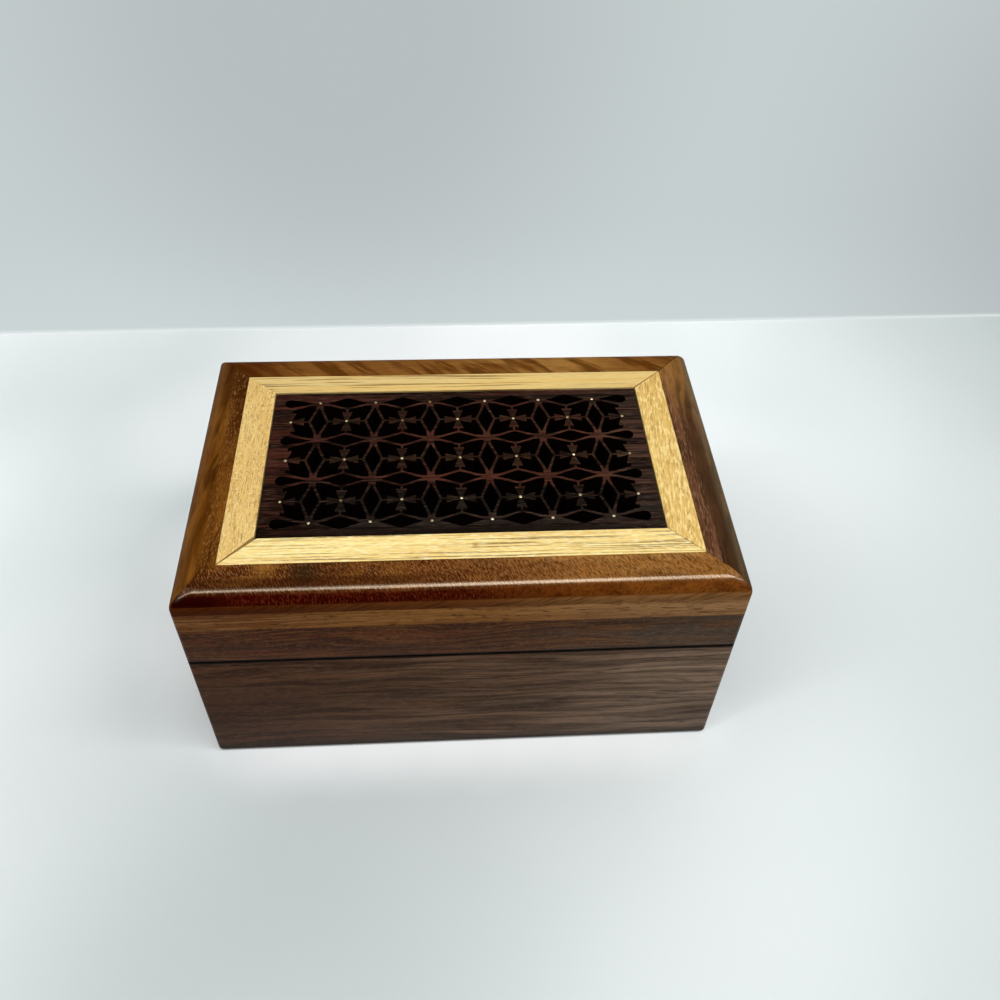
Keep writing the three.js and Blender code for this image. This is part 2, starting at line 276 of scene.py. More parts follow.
studio = {
    # painted light: the table's colour is palest round this middle, behind the box, and darker away from it
    "floorMiddle": (-0.081, 0.099, 0.0),
    "floorReach": (0.519, 0.15),
    "floorFar": "fcffff",
    "floorNear": "aab6b2",
    "floorCloud": "e2e9e8",
    "cloudScale": 6.0,
    "cloudRange": (0.42, 0.62),
    "cloudAmount": 0.6,
    "floorRoughness": 0.45,
    "floorGloss": 0.3,
    "shadeCore": 0.2,  # the share of a soft shade's radius that has its full amount
    "floorShade": "a9b1b1",
    # painted soft shadows on the table, the photographer's among them, (place, radius, amount)
    "floorShades": [((-0.065, -0.155, 0), 0.119, 0.44), ((0.119, 0.019, 0), 0.107, 0.31),
                    ((-0.087, 0.194, 0), 0.22, 0.4), ((0.301, -0.083, 0), 0.22, 0.36),
                    ((-0.059, -0.051, 0), 0.216, 0.56)],
    # and painted light on the table: what falls back close to the box, and brighter patches behind it
    "floorGlow": "ffffff",
    "floorGlows": [*(((-0.068 + 0.025 * i, -0.048, 0), 0.034, amount)
                     for i, amount in enumerate((0.6, 0.65, 0.65, 0.65, 0.6, 0.5))),
                   ((0.078, -0.05, 0), 0.03, 0.35), ((-0.1, 0.035, 0), 0.04, 0.5),
                   ((-0.098, -0.005, 0), 0.042, 0.4), ((-0.093, -0.036, 0), 0.034, 0.2),
                   ((-0.118, 0.115, 0), 0.06, 0.35), ((-0.075, 0.172, 0), 0.07, 0.4),
                   ((0.03, 0.17, 0), 0.1, 0.7)],
    "floorShown": 0.2,
    "wallLow": "ccd5d6",
    "wallHigh": "c6cfcf",
    "wallRise": 0.075,
    # painted soft shades on the wall: their colour, then (place, radius, amount)
    "wallShade": "b2b8ba",
    "wallShades": [((-0.051, 0.194, 0.155), 0.193, 0.74), ((0.393, 0.198, 0.103), 0.263, 1.0)],
    "wallFoot": "eaf1f0",  # the soft line where wall and table meet
    "footHeight": 0.003,
    "wallSunk": -0.001,
    "wallPlace": (0.0365, 0.1945),
    "wallTurn": 0.51,
    "floorSize": 3.0,
    "wallHeight": 1.1,
    # the room: bright overhead and behind the box, dim where the photographer stands
    "skyStrength": 0.43,
    "skyColour": "f0f4f6",
    "roomColour": "4a4644",
    "roomShown": "cfd6d5",
    "skyTilt": 0.45,
    "skyReach": 0.75,
    # a long row of lamps overhead, a little to the photographer's side, brightest to the right of the
    # middle: (place, size, power)
    "lamps": [((-0.25, -0.33, 1.33), (2.0, 0.13), 11.3), ((0.55, -0.33, 1.33), (1.5, 0.13), 7.2),
              ((0.16, -0.33, 1.33), (0.32, 0.13), 0.95)],
    "lampAim": (-0.06, -0.05, 0.08),  # to the left of the lamp, and from there in y and z
}


# what rays from the camera and from gloss see of a plain backdrop: its colour as written
def backdropMix(tree, shader, colour, share):
    shown = addNode(tree, "Emission", {"Color": colour, "Strength": 1.0})
    rays = addNode(tree, "LightPath")
    seen = addNode(tree, "Math", {0: (rays, "Is Camera Ray"), 1: (rays, "Is Glossy Ray")}, operation="MAXIMUM")
    seen = addNode(tree, "Math", {0: seen, 1: (rays, "Is Transmission Ray")}, operation="MAXIMUM")
    amount = addNode(tree, "Math", {0: seen, 1: share}, operation="MULTIPLY")
    return addNode(tree, "MixShader", {0: amount, 1: shader, 2: shown})


# lays soft round painted shades over a colour; with a pale colour they are painted light
def softShades(tree, coordinates, colour, shades, shadeColour):
    for place, radius, amount in shades:
        apart = addNode(tree, "VectorMath", {0: (coordinates, "Object"), 1: place}, operation="DISTANCE")
        inside = addNode(tree, "MapRange", {
            "Value": (apart, "Value"), "From Min": radius, "From Max": studio["shadeCore"] * radius,
            "To Max": amount,
        }, interpolation_type="SMOOTHSTEP")
        colour = addNode(tree, "Mix", {0: inside, 6: (colour, 2), 7: hexColour(shadeColour)}, data_type="RGBA")
    return colour


# white laminate table, pale and smooth: a soft sheen and the box's soft shadow; its colour holds painted light,
# palest behind the box and slightly uneven, with soft painted shadows and painted light
def tableLaminate():
    material, tree = newMaterial("whiteTableLaminate")
    coordinates = addNode(tree, "TexCoord")
    distance = addNode(tree, "VectorMath", {
        0: (coordinates, "Object"), 1: studio["floorMiddle"],
    }, operation="DISTANCE")
    far = addNode(tree, "MapRange", {
        "Value": (distance, "Value"), "From Min": studio["floorReach"][0], "From Max": studio["floorReach"][1],
    }, interpolation_type="SMOOTHSTEP")
    colour = addNode(tree, "Mix", {
        0: far, 6: hexColour(studio["floorNear"]), 7: hexColour(studio["floorFar"]),
    }, data_type="RGBA")
    # painted light, slightly uneven in soft patches
    cloud = addNode(tree, "TexNoise", {
        "Vector": (coordinates, "Object"), "Scale": studio["cloudScale"], "Detail": 1.0,
    })
    spread = addNode(tree, "MapRange", {
        "Value": cloud, "From Min": studio["cloudRange"][0], "From Max": studio["cloudRange"][1],
        "To Max": studio["cloudAmount"],
    })
    uneven = addNode(tree, "Mix", {0: spread, 6: (colour, 2), 7: hexColour(studio["floorCloud"])}, data_type="RGBA")
    # painted shadows, then painted light, laid over the table's colour
    uneven = softShades(tree, coordinates, uneven, studio["floorShades"], studio["floorShade"])
    uneven = softShades(tree, coordinates, uneven, studio["floorGlows"], studio["floorGlow"])
    shader = addNode(tree, "BsdfPrincipled", {
        "Base Color": (uneven, 2), "Roughness": studio["floorRoughness"],
        "Specular IOR Level": studio["floorGloss"],
    })
    floor = backdropMix(tree, shader, (uneven, 2), studio["floorShown"])
    addNode(tree, "OutputMaterial", {"Surface": floor})
    return material


# painted wall, matt: seen and mirrored in its own pale grey, and clear from behind, so that views
# from the back see the box
def wallPaint():
    material, tree = newMaterial("mattWallPaint")
    coordinates = addNode(tree, "TexCoord")
    axes = addNode(tree, "SeparateXYZ", {0: (coordinates, "Object")})
    height = addNode(tree, "MapRange", {
        "Value": (axes, "Z"), "From Max": studio["wallRise"],
    }, interpolation_type="SMOOTHSTEP")
    colour = addNode(tree, "Mix", {
        0: height, 6: hexColour(studio["wallLow"]), 7: hexColour(studio["wallHigh"]),
    }, data_type="RGBA")
    # painted shades on the wall
    colour = softShades(tree, coordinates, colour, studio["wallShades"], studio["wallShade"])
    foot = addNode(tree, "MapRange", {
        "Value": (axes, "Z"), "From Min": studio["footHeight"], "From Max": studio["wallSunk"],
    }, interpolation_type="SMOOTHSTEP")
    colour = addNode(tree, "Mix", {0: foot, 6: (colour, 2), 7: hexColour(studio["wallFoot"])}, data_type="RGBA")
    paint = addNode(tree, "BsdfDiffuse", {"Color": (colour, 2)})
    front = backdropMix(tree, paint, (colour, 2), 1.0)
    clear = addNode(tree, "BsdfTransparent")
    facing = addNode(tree, "NewGeometry")
    mix = addNode(tree, "MixShader", {0: (facing, "Backfacing"), 1: front, 2: clear})
    addNode(tree, "OutputMaterial", {"Surface": mix})
    return material


def stageSheet(name, corners, material):
    mesh = bpy.data.meshes.new(name)
    mesh.from_pydata(corners, [], [(0, 1, 2, 3)])
    meshObject(name, mesh, material)


half = studio["floorSize"] / 2
stageSheet("floor", [(-half, -half, 0), (half, -half, 0), (half, half, 0), (-half, half, 0)], tableLaminate())
wallX, wallY = studio["wallPlace"]
lean = math.tan(math.radians(studio["wallTurn"]))
wallLow = [(x, wallY + (x - wallX) * lean, studio["wallSunk"]) for x in (-half, half)]
wallTop = [(x, y, studio["wallHeight"]) for x, y, z in reversed(wallLow)]
stageSheet("wall", wallLow + wallTop, wallPaint())


def areaLamp(name, place, size, power, target):
    lamp = bpy.data.lights.new(name, "AREA")
    lamp.shape = "RECTANGLE"
    lamp.size, lamp.size_y = size
    lamp.energy = power
    holder = bpy.data.objects.new(name, lamp)
    holder.location = place
    holder.rotation_euler = (Vector(target) - Vector(place)).to_track_quat("-Z", "Y").to_euler()
    bpy.context.scene.collection.objects.link(holder)


aimX, aimY, aimZ = studio["lampAim"]
for lampPlace, lampSize, lampPower in studio["lamps"]:
    areaLamp("panelLamp", lampPlace, lampSize, lampPower, (lampPlace[0] + aimX, aimY, aimZ))

world = bpy.data.worlds.new("room")
world.use_nodes = True
room = world.node_tree
room.nodes.clear()
skyAxes = addNode(room, "SeparateXYZ", {0: (addNode(room, "TexCoord"), "Generated")})
skyLift = addNode(room, "Math", {
    0: (skyAxes, "Y"), 1: studio["skyTilt"], 2: (skyAxes, "Z"),
}, operation="MULTIPLY_ADD")
skyMap = addNode(room, "MapRange", {
    "Value": skyLift, "From Max": studio["skyReach"],
}, interpolation_type="SMOOTHSTEP")
skyMix = addNode(room, "Mix", {
    0: skyMap, 6: hexColour(studio["roomColour"]), 7: hexColour(studio["skyColour"]),
}, data_type="RGBA")
skyLight = addNode(room, "Background", {0: (skyMix, 2), 1: studio["skyStrength"]})
skySeen = addNode(room, "Background", {0: hexColour(studio["roomShown"]), 1: 1.0})
rays = addNode(room, "LightPath")
skyShader = addNode(room, "MixShader", {0: (rays, "Is Camera Ray"), 1: skyLight, 2: skySeen})
addNode(room, "OutputWorld", {"Surface": skyShader})
bpy.context.scene.world = world
bpy.context.scene.view_settings.view_transform = "Standard"
print("studio ready")


# ---- woods

# One layer of a wood's figure. A rail's own directions are x along it, y inwards from its outer face and z up,
# in millimetres. With a size (along, across, up) the layer is a noise stretched to it, and lays its colour
# where the noise passes from low to high. A ridge layer follows the noise's middle line, as growth lines do.
# x, y and z are pairs of places, and the layer grows from the first of each pair to the second. near is a
# spot: (x, y, z, radius, softness).
def tint(colour, amount, size=None, low=0.0, high=1.0, **more):
    ramps = {axis: more.pop(axis) for axis in list(more) if axis in ("x", "y", "z")}
    within = [(axis, *ends[i:i + 2]) for axis, ends in ramps.items() for i in range(0, len(ends), 2)]
    return {"colour": colour, "amount": amount, "size": size, "low": low, "high": high, "within": within, **more}


figure = {
    "apart": (7.3, 3.1, 5.7),  # how far each layer's noise lies from the one before
    "detail": 2.0,
    "roughness": 0.55,
    "relief": 0.05,
    "glossTint": "ffcf9f",
}


# Solid timber under a thin varnish, as a base colour with its layers of figure laid over it
def timber(name, wood, side="front", shift=(0, 0, 0)):
    turn, along, across = sides[side]
    material, tree = newMaterial(name)
    coordinates = addNode(tree, "TexCoord")
    own = addNode(tree, "Mapping", {
        "Vector": (coordinates, "Object"), "Scale": (1 / mm,) * 3, "Rotation": (0, 0, math.radians(-turn)),
        "Location": (0, across / 2, 0),
    })
    axes = addNode(tree, "SeparateXYZ", {0: own})
    grain = addNode(tree, "VectorMath", {0: own, 1: shift}, operation="ADD")
    # growth lines wander: the grain is bent by a slow noise
    bendSize, bendBy = wood["bend"]
    bendMap = addNode(tree, "Mapping", {"Vector": grain, "Scale": tuple(1 / s for s in bendSize)})
    bendNoise = addNode(tree, "TexNoise", {"Vector": bendMap, "Scale": 1.0, "Detail": 1.0})
    bent = addNode(tree, "VectorMath", {
        0: (bendNoise, "Color"), 1: (0, bendBy, bendBy), 2: grain,
    }, operation="MULTIPLY_ADD")
    colour = hexColour(wood["base"])
    relief = 0.5
    for number, layer in enumerate(wood["layers"]):
        share = layer["amount"]
        if layer["size"]:
            source = grain if layer.get("straight") else bent
            if "slant" in layer:
                source = addNode(tree, "Mapping", {
                    "Vector": source, "Rotation": tuple(math.radians(a) for a in layer["slant"]),
                })
            stretch = addNode(tree, "Mapping", {
                "Vector": source, "Scale": tuple(1 / s for s in layer["size"]),
                "Location": tuple(number * apart for apart in figure["apart"]),
            })
            pattern = addNode(tree, "TexNoise", {
                "Vector": stretch, "Scale": 1.0, "Detail": layer.get("detail", figure["detail"]),
                "Roughness": figure["roughness"],
            })
            if layer.get("ridge"):
                middle = addNode(tree, "Math", {0: pattern, 1: 0.5}, operation="SUBTRACT")
                pattern = addNode(tree, "Math", {0: middle}, operation="ABSOLUTE")
            share = addNode(tree, "MapRange", {
                "Value": pattern, "From Min": layer["low"], "From Max": layer["high"], "To Max": layer["amount"],
            })
        for axis, start, end in layer["within"]:
            reach = addNode(tree, "MapRange", {
                "Value": (axes, axis.upper()), "From Min": start, "From Max": end,
            }, interpolation_type="SMOOTHSTEP")
            share = addNode(tree, "Math", {0: share, 1: reach}, operation="MULTIPLY")
        if "near" in layer:
            x, y, z, radius, soft = layer["near"]
            spot = addNode(tree, "VectorMath", {0: own, 1: (x, y, z)}, operation="DISTANCE")
            inside = addNode(tree, "MapRange", {
                "Value": (spot, "Value"), "From Min": radius - soft, "From Max": radius + soft, "To Min": 1.0,
                "To Max": 0.0,
            }, interpolation_type="SMOOTHSTEP")
            share = addNode(tree, "Math", {0: share, 1: inside}, operation="MULTIPLY")
        colour = (addNode(tree, "Mix", {0: share, 6: colour, 7: hexColour(layer["colour"])}, data_type="RGBA"), 2)
        if "relief" in layer:
            relief = addNode(tree, "Math", {0: share, 1: layer["relief"], 2: relief}, operation="MULTIPLY_ADD")
    bump = addNode(tree, "Bump", {"Strength": wood["bump"], "Distance": figure["relief"] * mm, "Height": relief})
    shader = addNode(tree, "BsdfPrincipled", {
        "Base Color": colour, "Roughness": wood["roughness"], "IOR": 1.5, "Specular IOR Level": wood["gloss"],
        "Specular Tint": hexColour(wood.get("glossTint", figure["glossTint"])), "Normal": bump,
    })
    addNode(tree, "OutputMaterial", {"Surface": shader})
    return material


# Black walnut, planed and varnished: soft wavy lines 2 to 3 mm apart, quiet in tone; darker to the left and paler
# to the right as painted light
varnish = {"roughness": 0.4, "gloss": 0.06, "bump": 0.3}
bodyWalnut = {
    "base": "6f4e37",
    "bend": ((60, 25, 14), 8.0),
    "layers": [
        # painted light: darker to the left, paler to the right
        tint("502e1e", 0.8, x=(-5, -75)),
        tint("9c826d", 0.85, x=(0, 75)),
        tint("382116", 0.42, (150, 40, 12), 0.44, 0.6),
        tint("1e0d08", 0.6, (60, 10, 3.0), 0.46, 0.6, x=(-120, -80)),
        tint("1c0c07", 0.6, (70, 12, 4.2), 0.035, 0.0, ridge=True, x=(-130, -85)),
        tint("907460", 0.32, (40, 8, 1.6), 0.48, 0.62, x=(-80, 0)),
        tint("2a150c", 0.2, (26, 6, 0.9), 0.5, 0.62),
        tint("28160c", 0.32, (4, 0.5, 0.4), 0.5, 0.64, straight=True, relief=-0.6),
        tint("93724f", 0.2, (3, 0.5, 0.4), 0.52, 0.68),
        # painted shade along the foot, darkening towards the table
        tint("171913", 0.75, z=(8, 1.5)),
        # painted shade at the closing line, on the eased top edge of the outer face
        tint("060302", 0.95, z=(55.65, 56.0), y=(0.8, 0.4)),
    ],
    **varnish,
}

# Darker, redder black walnut of the lid's rim, with a loose flame and a greyish streak to the right
rimWalnut = {
    "base": "602f12",
    "bend": ((45, 20, 10), 9.0),
    "layers": [
        tint("5a2406", 0.7, x=(-15, -75)),
        tint("6f5237", 0.7, x=(5, 70)),
        tint("2c1105", 0.6, (70, 20, 5), 0.44, 0.58),
        tint("240b02", 0.55, (60, 8, 1.6), 0.46, 0.58),
        tint("8e5a2e", 0.4, (26, 6, 0.8), 0.48, 0.62),
        tint("4a3e32", 0.7, (50, 10, 5), 0.45, 0.56, x=(10, 50)),
        tint("200902", 0.55, (3, 0.5, 0.35), 0.5, 0.64, straight=True, relief=-0.6),
        tint("95663f", 0.3, (1.6, 0.5, 0.35), 0.52, 0.68),
        # painted shade at the closing line, on the rim's eased lower edge
        tint("060302", 0.95, z=(57.85, 57.45), y=(0.8, 0.4)),
    ],
    **varnish,
}

# Lighter walnut sapwood board: fine fibres and short dark open pores
boardWalnut = {
    "base": "945f2a",
    "bend": ((60, 20, 14), 2.5),
    "layers": [
        tint("6e3a12", 0.85, x=(-15, -80)),
        tint("ad7f52", 0.85, x=(0, 70)),
        tint("65370f", 0.4, (60, 16, 3.5), 0.42, 0.6),
        tint("b8854c", 0.35, (20, 3, 0.7), 0.48, 0.62),
        tint("542a09", 0.35, (12, 1.0, 0.5), 0.48, 0.62),
        tint("2c1403", 0.8, (3.4, 0.5, 0.42), 0.59, 0.65, straight=True, relief=-0.8),
        tint("2c1608", 0.5, z=(74.0, 73.7), y=(0.6, 0.3)),
    ],
    "roughness": 0.42,
    "gloss": 0.06,
    "bump": 0.35,
}

# Figured walnut of the lid's frame: a different cut on each side, with short slanting ticks about 1 mm
# apart where its fibres dip, their glints painted in as light ticks
redShadedBand = {"z": (88.9, 87.6, 84.6, 85.5), "y": (6.5, 5.2)}  # the rounded edge: dark red, darkened as painted shade below the highlight
frontFace = {"z": (85.4, 84.6)}
satinOil = {"roughness": 0.5, "gloss": 0.02, "bump": 0.2}
frameWalnut = {
    "front": {
        "base": "663815",
        "bend": ((26, 10, 10), 5.0),
        "layers": [
            tint("441b03", 0.8, x=(5, -60)),
            tint("96662f", 0.85, x=(0, 65)),
            tint("b58345", 0.5, y=(9.5, 12.5), x=(-10, 25)),
            tint("3a1602", 0.5, (24, 6, 6), 0.46, 0.6),
            tint("8c561f", 0.45, (18, 5, 5), 0.5, 0.64),
            tint("2c0c00", 0.58, (1.7, 0.46, 2.0), 0.46, 0.58, slant=(0, 0, 60), straight=True, detail=1.0,
                 relief=-0.5, z=(86.5, 88.6)),
            # painted glints: light slanting ticks
            tint("a47648", 0.38, (1.6, 0.42, 2.0), 0.5, 0.62, slant=(0, 0, 62), straight=True, detail=1.0,
                 z=(86.0, 88.6)),
            tint("221a0c", 0.7, near=(-49, 9.0, 89.5, 4.5, 3.5)),
            tint("2e1406", 0.35, near=(-39, 9.5, 89.5, 4.5, 4.0)),
            tint("b57f33", 0.25, near=(-61, 11.5, 89.5, 3.0, 3.0)),
            tint("a8702c", 0.14, near=(-21, 9.0, 89.5, 4.0, 3.5)),
            tint("2c0e02", 0.6, y=(8.6, 6.6), z=(88.6, 89.2), x=(5, -20)),
            # painted shade on the rounded edge, dark red
            tint("2e0000", 0.95, **redShadedBand),
            tint("140000", 0.5, **redShadedBand, x=(-66, -80)),
            tint("6e3c10", 0.95, **redShadedBand, x=(-10, 50)),
            tint("8a581e", 0.2, **redShadedBand, x=(30, 65)),
            tint("200200", 0.4, (9, 6, 2.5), 0.48, 0.6, **redShadedBand),
            # painted glints on the rounded edge: fine light slanting ticks
            tint("80361c", 0.38, (1.5, 0.42, 1.0), 0.5, 0.62, slant=(0, 0, 62), straight=True, **redShadedBand,
                 x=(-78, -62)),
            tint("160000", 0.4, (1.3, 1.2, 0.6), 0.49, 0.62, slant=(0, 30, 0), **redShadedBand, x=(-70, -20)),
            tint("623414", 0.9, **frontFace),
            tint("906338", 0.9, **frontFace, x=(-10, 60)),
            tint("4a1c04", 0.8, **frontFace, x=(-20, -75)),
            tint("2a1000", 0.5, (9, 3, 0.8), 0.48, 0.6, slant=(0, 24, 0), **frontFace),
        ],
        **satinOil,
    },
    "back": {
        "base": "754a1e",
        "bend": ((30, 12, 12), 3.0),
        "layers": [
            tint("a5783c", 0.55, x=(12, -22, -68, -46)),
            tint("502a06", 0.85, (26, 5.5, 20), 0.48, 0.58, slant=(0, 0, 38)),
            tint("93622c", 0.5, (16, 2, 10), 0.5, 0.66, slant=(0, 0, 36)),
            tint("421800", 0.8, x=(50, 80)),
            tint("45250c", 0.4, (10, 0.7, 0.7), 0.5, 0.68, relief=-0.3),
        ],
        **satinOil,
    },
    "left": {
        "base": "6a3e10",
        "bend": ((30, 10, 10), 6.0),
        "layers": [
            tint("48240a", 0.7, x=(10, -40)),
            tint("351700", 0.8, (34, 5, 6), 0.49, 0.58, slant=(0, 0, 9)),
            tint("8c5a20", 0.45, (24, 4, 4), 0.5, 0.62, slant=(0, 0, 8)),
            tint("2e1400", 0.42, x=(-18, -32)),
            tint("3d1a00", 0.5, (50, 9, 9), 0.46, 0.6),
            tint("3a1500", 0.6, y=(8.0, 11.0), x=(20, -25)),
            tint("8a5a28", 0.35, y=(6.0, 3.0)),
            tint("2f1300", 0.4, (8, 0.7, 0.7), 0.5, 0.68, relief=-0.3),
            # painted glints: light flecks near the maple
            tint("a8794a", 0.35, (1.8, 0.42, 0.6), 0.58, 0.66, slant=(0, 0, 12), detail=1.0, y=(6.5, 9)),
        ],
        **satinOil,
    },
    "right": {
        "base": "5c3b25",
        "bend": ((36, 10, 10), 5.0),
        "layers": [
            tint("845c2c", 0.7, x=(12, 36)),
            tint("3a2816", 0.7, y=(11, 8.5), x=(22, 2)),
            tint("2a190c", 0.55, (60, 2.2, 5), 0.49, 0.6, slant=(0, 0, 4)),
            tint("86553a", 0.5, (30, 1.6, 3), 0.5, 0.64, slant=(0, 0, 4), y=(7, 10)),
            tint("7a6549", 0.6, y=(5.5, 2.5)),
            tint("2b1b10", 0.35, (16, 4, 5), 0.49, 0.58, x=(34, 20)),
            tint("2c1c10", 0.35, x=(-15, -45), y=(8.5, 6)),
            tint("9a6a34", 0.4, x=(30, 44), y=(2.5, 4)),
            # painted glints: fine light streaks near the maple
            tint("9a7458", 0.35, (3.0, 0.5, 0.6), 0.54, 0.66, slant=(0, 0, 4), detail=1.0, y=(7, 10)),
            tint("201007", 0.45, (8, 0.7, 0.7), 0.5, 0.68, relief=-0.3),
        ],
        **satinOil,
    },
}

# Pale maple, planed: honey cream. Long thin brown growth lines in front and behind
planedSatin = {"roughness": 0.42, "gloss": 0.2, "glossTint": "ffe9c8", "bump": 0.15}
mapleFront = {
    "base": "f4da90",
    "bend": ((60, 10, 10), 1.8),
    "layers": [
        tint("e0b766", 0.55, (120, 7, 9), 0.44, 0.6),
        tint("d2a75a", 0.5, (60, 0.9, 0.9), 0.5, 0.62),
        tint("5a3d14", 0.68, (130, 1.0, 1.0), 0.585, 0.61, x=(-85, -45)),
        tint("6f4e1e", 0.75, (60, 0.7, 0.7), 0.59, 0.62, x=(-85, -45)),
        tint("c49c54", 0.5, (5, 0.4, 0.4), 0.5, 0.7, straight=True),
        tint("fff3c8", 0.5, (3, 0.4, 0.4), 0.5, 0.66, straight=True),
        tint("a87f38", 0.6, near=(3.5, 18.5, 89, 1.1, 0.7)),
        tint("4c300c", 0.9, near=(3.5, 18.5, 89, 0.4, 0.35)),
    ],
    **planedSatin,
}
mapleBack = {**mapleFront, "base": "d8be80", "layers": mapleFront["layers"][:2] + mapleFront["layers"][3:5]}

# The same maple at the sides, with short dark flecks
mapleFlecked = {
    "base": "dcb870",
    "bend": ((60, 10, 10), 1.2),
    "layers": [
        tint("cda052", 0.55, (50, 5, 6), 0.42, 0.6),
        tint("b98c42", 0.45, (14, 1.2, 1.2), 0.5, 0.66),
        tint("84541c", 0.5, (2.4, 0.45, 0.6), 0.54, 0.62),
        tint("f9e7b4", 0.45, (1.0, 0.35, 0.4), 0.52, 0.66),
    ],
    **planedSatin,
}

# and at the right side with longer light streaks on a tan ground
mapleStreaked = {**mapleFlecked, "base": "dcb66a", "layers": mapleFlecked["layers"][:2] + [
    tint("9a7030", 0.5, (5.0, 0.8, 0.6), 0.51, 0.62, slant=(0, 0, 7)),
    tint("f6df9c", 0.6, (3.6, 0.7, 0.6), 0.5, 0.6, slant=(0, 0, 7)),
]}

# Rosewood, scroll-sawn and oiled: near black with red-brown stripes 2 to 3 mm apart, redder in the middle
# rows and greyer to the front and the right
rosewood = {
    "base": "1f110c",
    "bend": ((60, 12, 12), 3.0),
    "layers": [
        tint("2d211a", 0.8, x=(12, 62)),
        tint("120603", 0.8, x=(-38, -56)),
        tint("43211a", 0.65, (60, 2.4, 3), 0.49, 0.58, detail=3.0, x=(64, 40)),
        tint("573a2c", 0.6, (60, 1.8, 3), 0.49, 0.57, x=(30, 62)),
        tint("5a2e20", 0.35, y=(36, 45, 82, 70), x=(-40, 0, 60, 45)),
        tint("1b1b18", 0.65, y=(45, 34), x=(-60, -35)),
        tint("0c0b08", 0.88, y=(31, 36, 47, 42), x=(-60, -52, 60, 52)),
        tint("1b140a", 0.72, y=(51, 55, 66, 61), x=(-60, -52, 60, 52)),
        tint("21130a", 0.6, y=(70, 74, 85, 80), x=(-60, -52, 60, 52)),
        tint("0a0302", 0.8, (50, 1.4, 2), 0.5, 0.59),
        tint("4e2417", 0.42, (30, 2.2, 3), 0.5, 0.58, x=(-50, -57), y=(38, 50)),
        tint("6c5040", 0.3, (5, 0.4, 0.4), 0.54, 0.68, straight=True, relief=-0.5),
        tint("0d0704", 0.65, y=(28.5, 25.5), x=(64, 30)),
    ],
    "roughness": 0.4,
    "gloss": 0.03,
    "bump": 0.3,
}

# The same wood where the saw has passed, scorched black, and darkened further as painted shade in the openings
sawnAndShadedRosewood = {
    "base": "080302",
    "bend": ((60, 12, 12), 3.0),
    "layers": [
        tint("140806", 0.6, (4, 4, 0.6), 0.5, 0.65, relief=-0.5),
    ],
    "roughness": 0.9,
    "gloss": 0.02,
    "bump": 0.3,
}

# Glue in the mitres, and painted shade in their open gaps: near black and dull
glueAndShadeLine = {
    "base": "060302",
    "bend": ((60, 12, 12), 1.0),
    "layers": [tint("120a04", 0.6, (2, 2, 1), 0.5, 0.65, relief=-0.5)],
    "roughness": 0.9,
    "gloss": 0.05,
    "bump": 0.3,
}

# Birch ply, sanded and oiled: plain, pale brown, only seen from below
birchPly = {
    "base": "8c6a48",
    "bend": ((80, 40, 10), 6.0),
    "layers": [
        tint("74543a", 0.6, (90, 9, 4), 0.42, 0.62),
        tint("5b4029", 0.4, (12, 0.7, 0.7), 0.5, 0.75, relief=-0.4),
    ],
    "roughness": 0.6,
    "gloss": 0.3,
    "bump": 0.2,
}


brass = {
    "brushed": (10 / 3, 0.2, 0.2),
    "relief": 0.02,
    "tarnishRange": (0.4, 0.62),
    "duller": (-0.08, 0.12),  # from the brightest line to the dullest
}


# Brass, drawn and lightly tarnished in patches: warm yellow with soft brushed lines 0.2 mm apart
def brassFinish(name, colour, tarnishColour, tarnishSize, roughness):
    material, tree = newMaterial(name)
    coordinates = addNode(tree, "TexCoord")
    brushed = addNode(tree, "Mapping", {
        "Vector": (coordinates, "Object"), "Scale": tuple(1 / s / mm for s in brass["brushed"]),
    })
    lines = addNode(tree, "TexNoise", {"Vector": brushed, "Scale": 1.0, "Detail": 2.0})
    tarnish = addNode(tree, "TexNoise", {"Vector": (coordinates, "Object"), "Scale": 1 / (tarnishSize * mm)})
    least, most = brass["tarnishRange"]
    spread = addNode(tree, "MapRange", {"Value": tarnish, "From Min": least, "From Max": most})
    tone = addNode(tree, "Mix", {0: spread, 6: hexColour(colour), 7: hexColour(tarnishColour)}, data_type="RGBA")
    bright, dull = [roughness + change for change in brass["duller"]]
    rough = addNode(tree, "MapRange", {"Value": lines, "To Min": bright, "To Max": dull})
    bump = addNode(tree, "Bump", {"Strength": 0.2, "Distance": brass["relief"] * mm, "Height": lines})
    shader = addNode(tree, "BsdfPrincipled", {
        "Base Color": (tone, 2), "Metallic": 1.0, "Roughness": rough, "Normal": bump,
    })
    addNode(tree, "OutputMaterial", {"Surface": shader})
    return material


# Wool felt, pressed and dyed black: no shine, with matted fibres about 0.4 mm across
def blackFelt():
    material, tree = newMaterial("pressedBlackFelt")
    coordinates = addNode(tree, "TexCoord")
    fibres = addNode(tree, "TexNoise", {
        "Vector": (coordinates, "Object"), "Scale": 2500.0, "Detail": 4.0, "Roughness": 0.7,
    })
    tone = addNode(tree, "Mix", {0: fibres, 6: hexColour("010101"), 7: hexColour("060505")}, data_type="RGBA")
    bump = addNode(tree, "Bump", {"Strength": 0.6, "Distance": 0.3 * mm, "Height": fibres})
    shader = addNode(tree, "BsdfPrincipled", {
        "Base Color": (tone, 2), "Roughness": 1.0, "Specular IOR Level": 0.0, "Normal": bump,
    })
    addNode(tree, "OutputMaterial", {"Surface": shader})
    return material


mitreGlueAndShade = timber("darkGlueAndPaintedShade", glueAndShadeLine)
felt = blackFelt()
hingeBrass = brassFinish("drawnBrass", "c9a24c", "a98538", 2.5, 0.3)
pinBrass = brassFinish("filedBrassPin", "e9dbb2", "8a7344", 7, 0.42)
print("materials ready")


# ---- cutters for the back edges

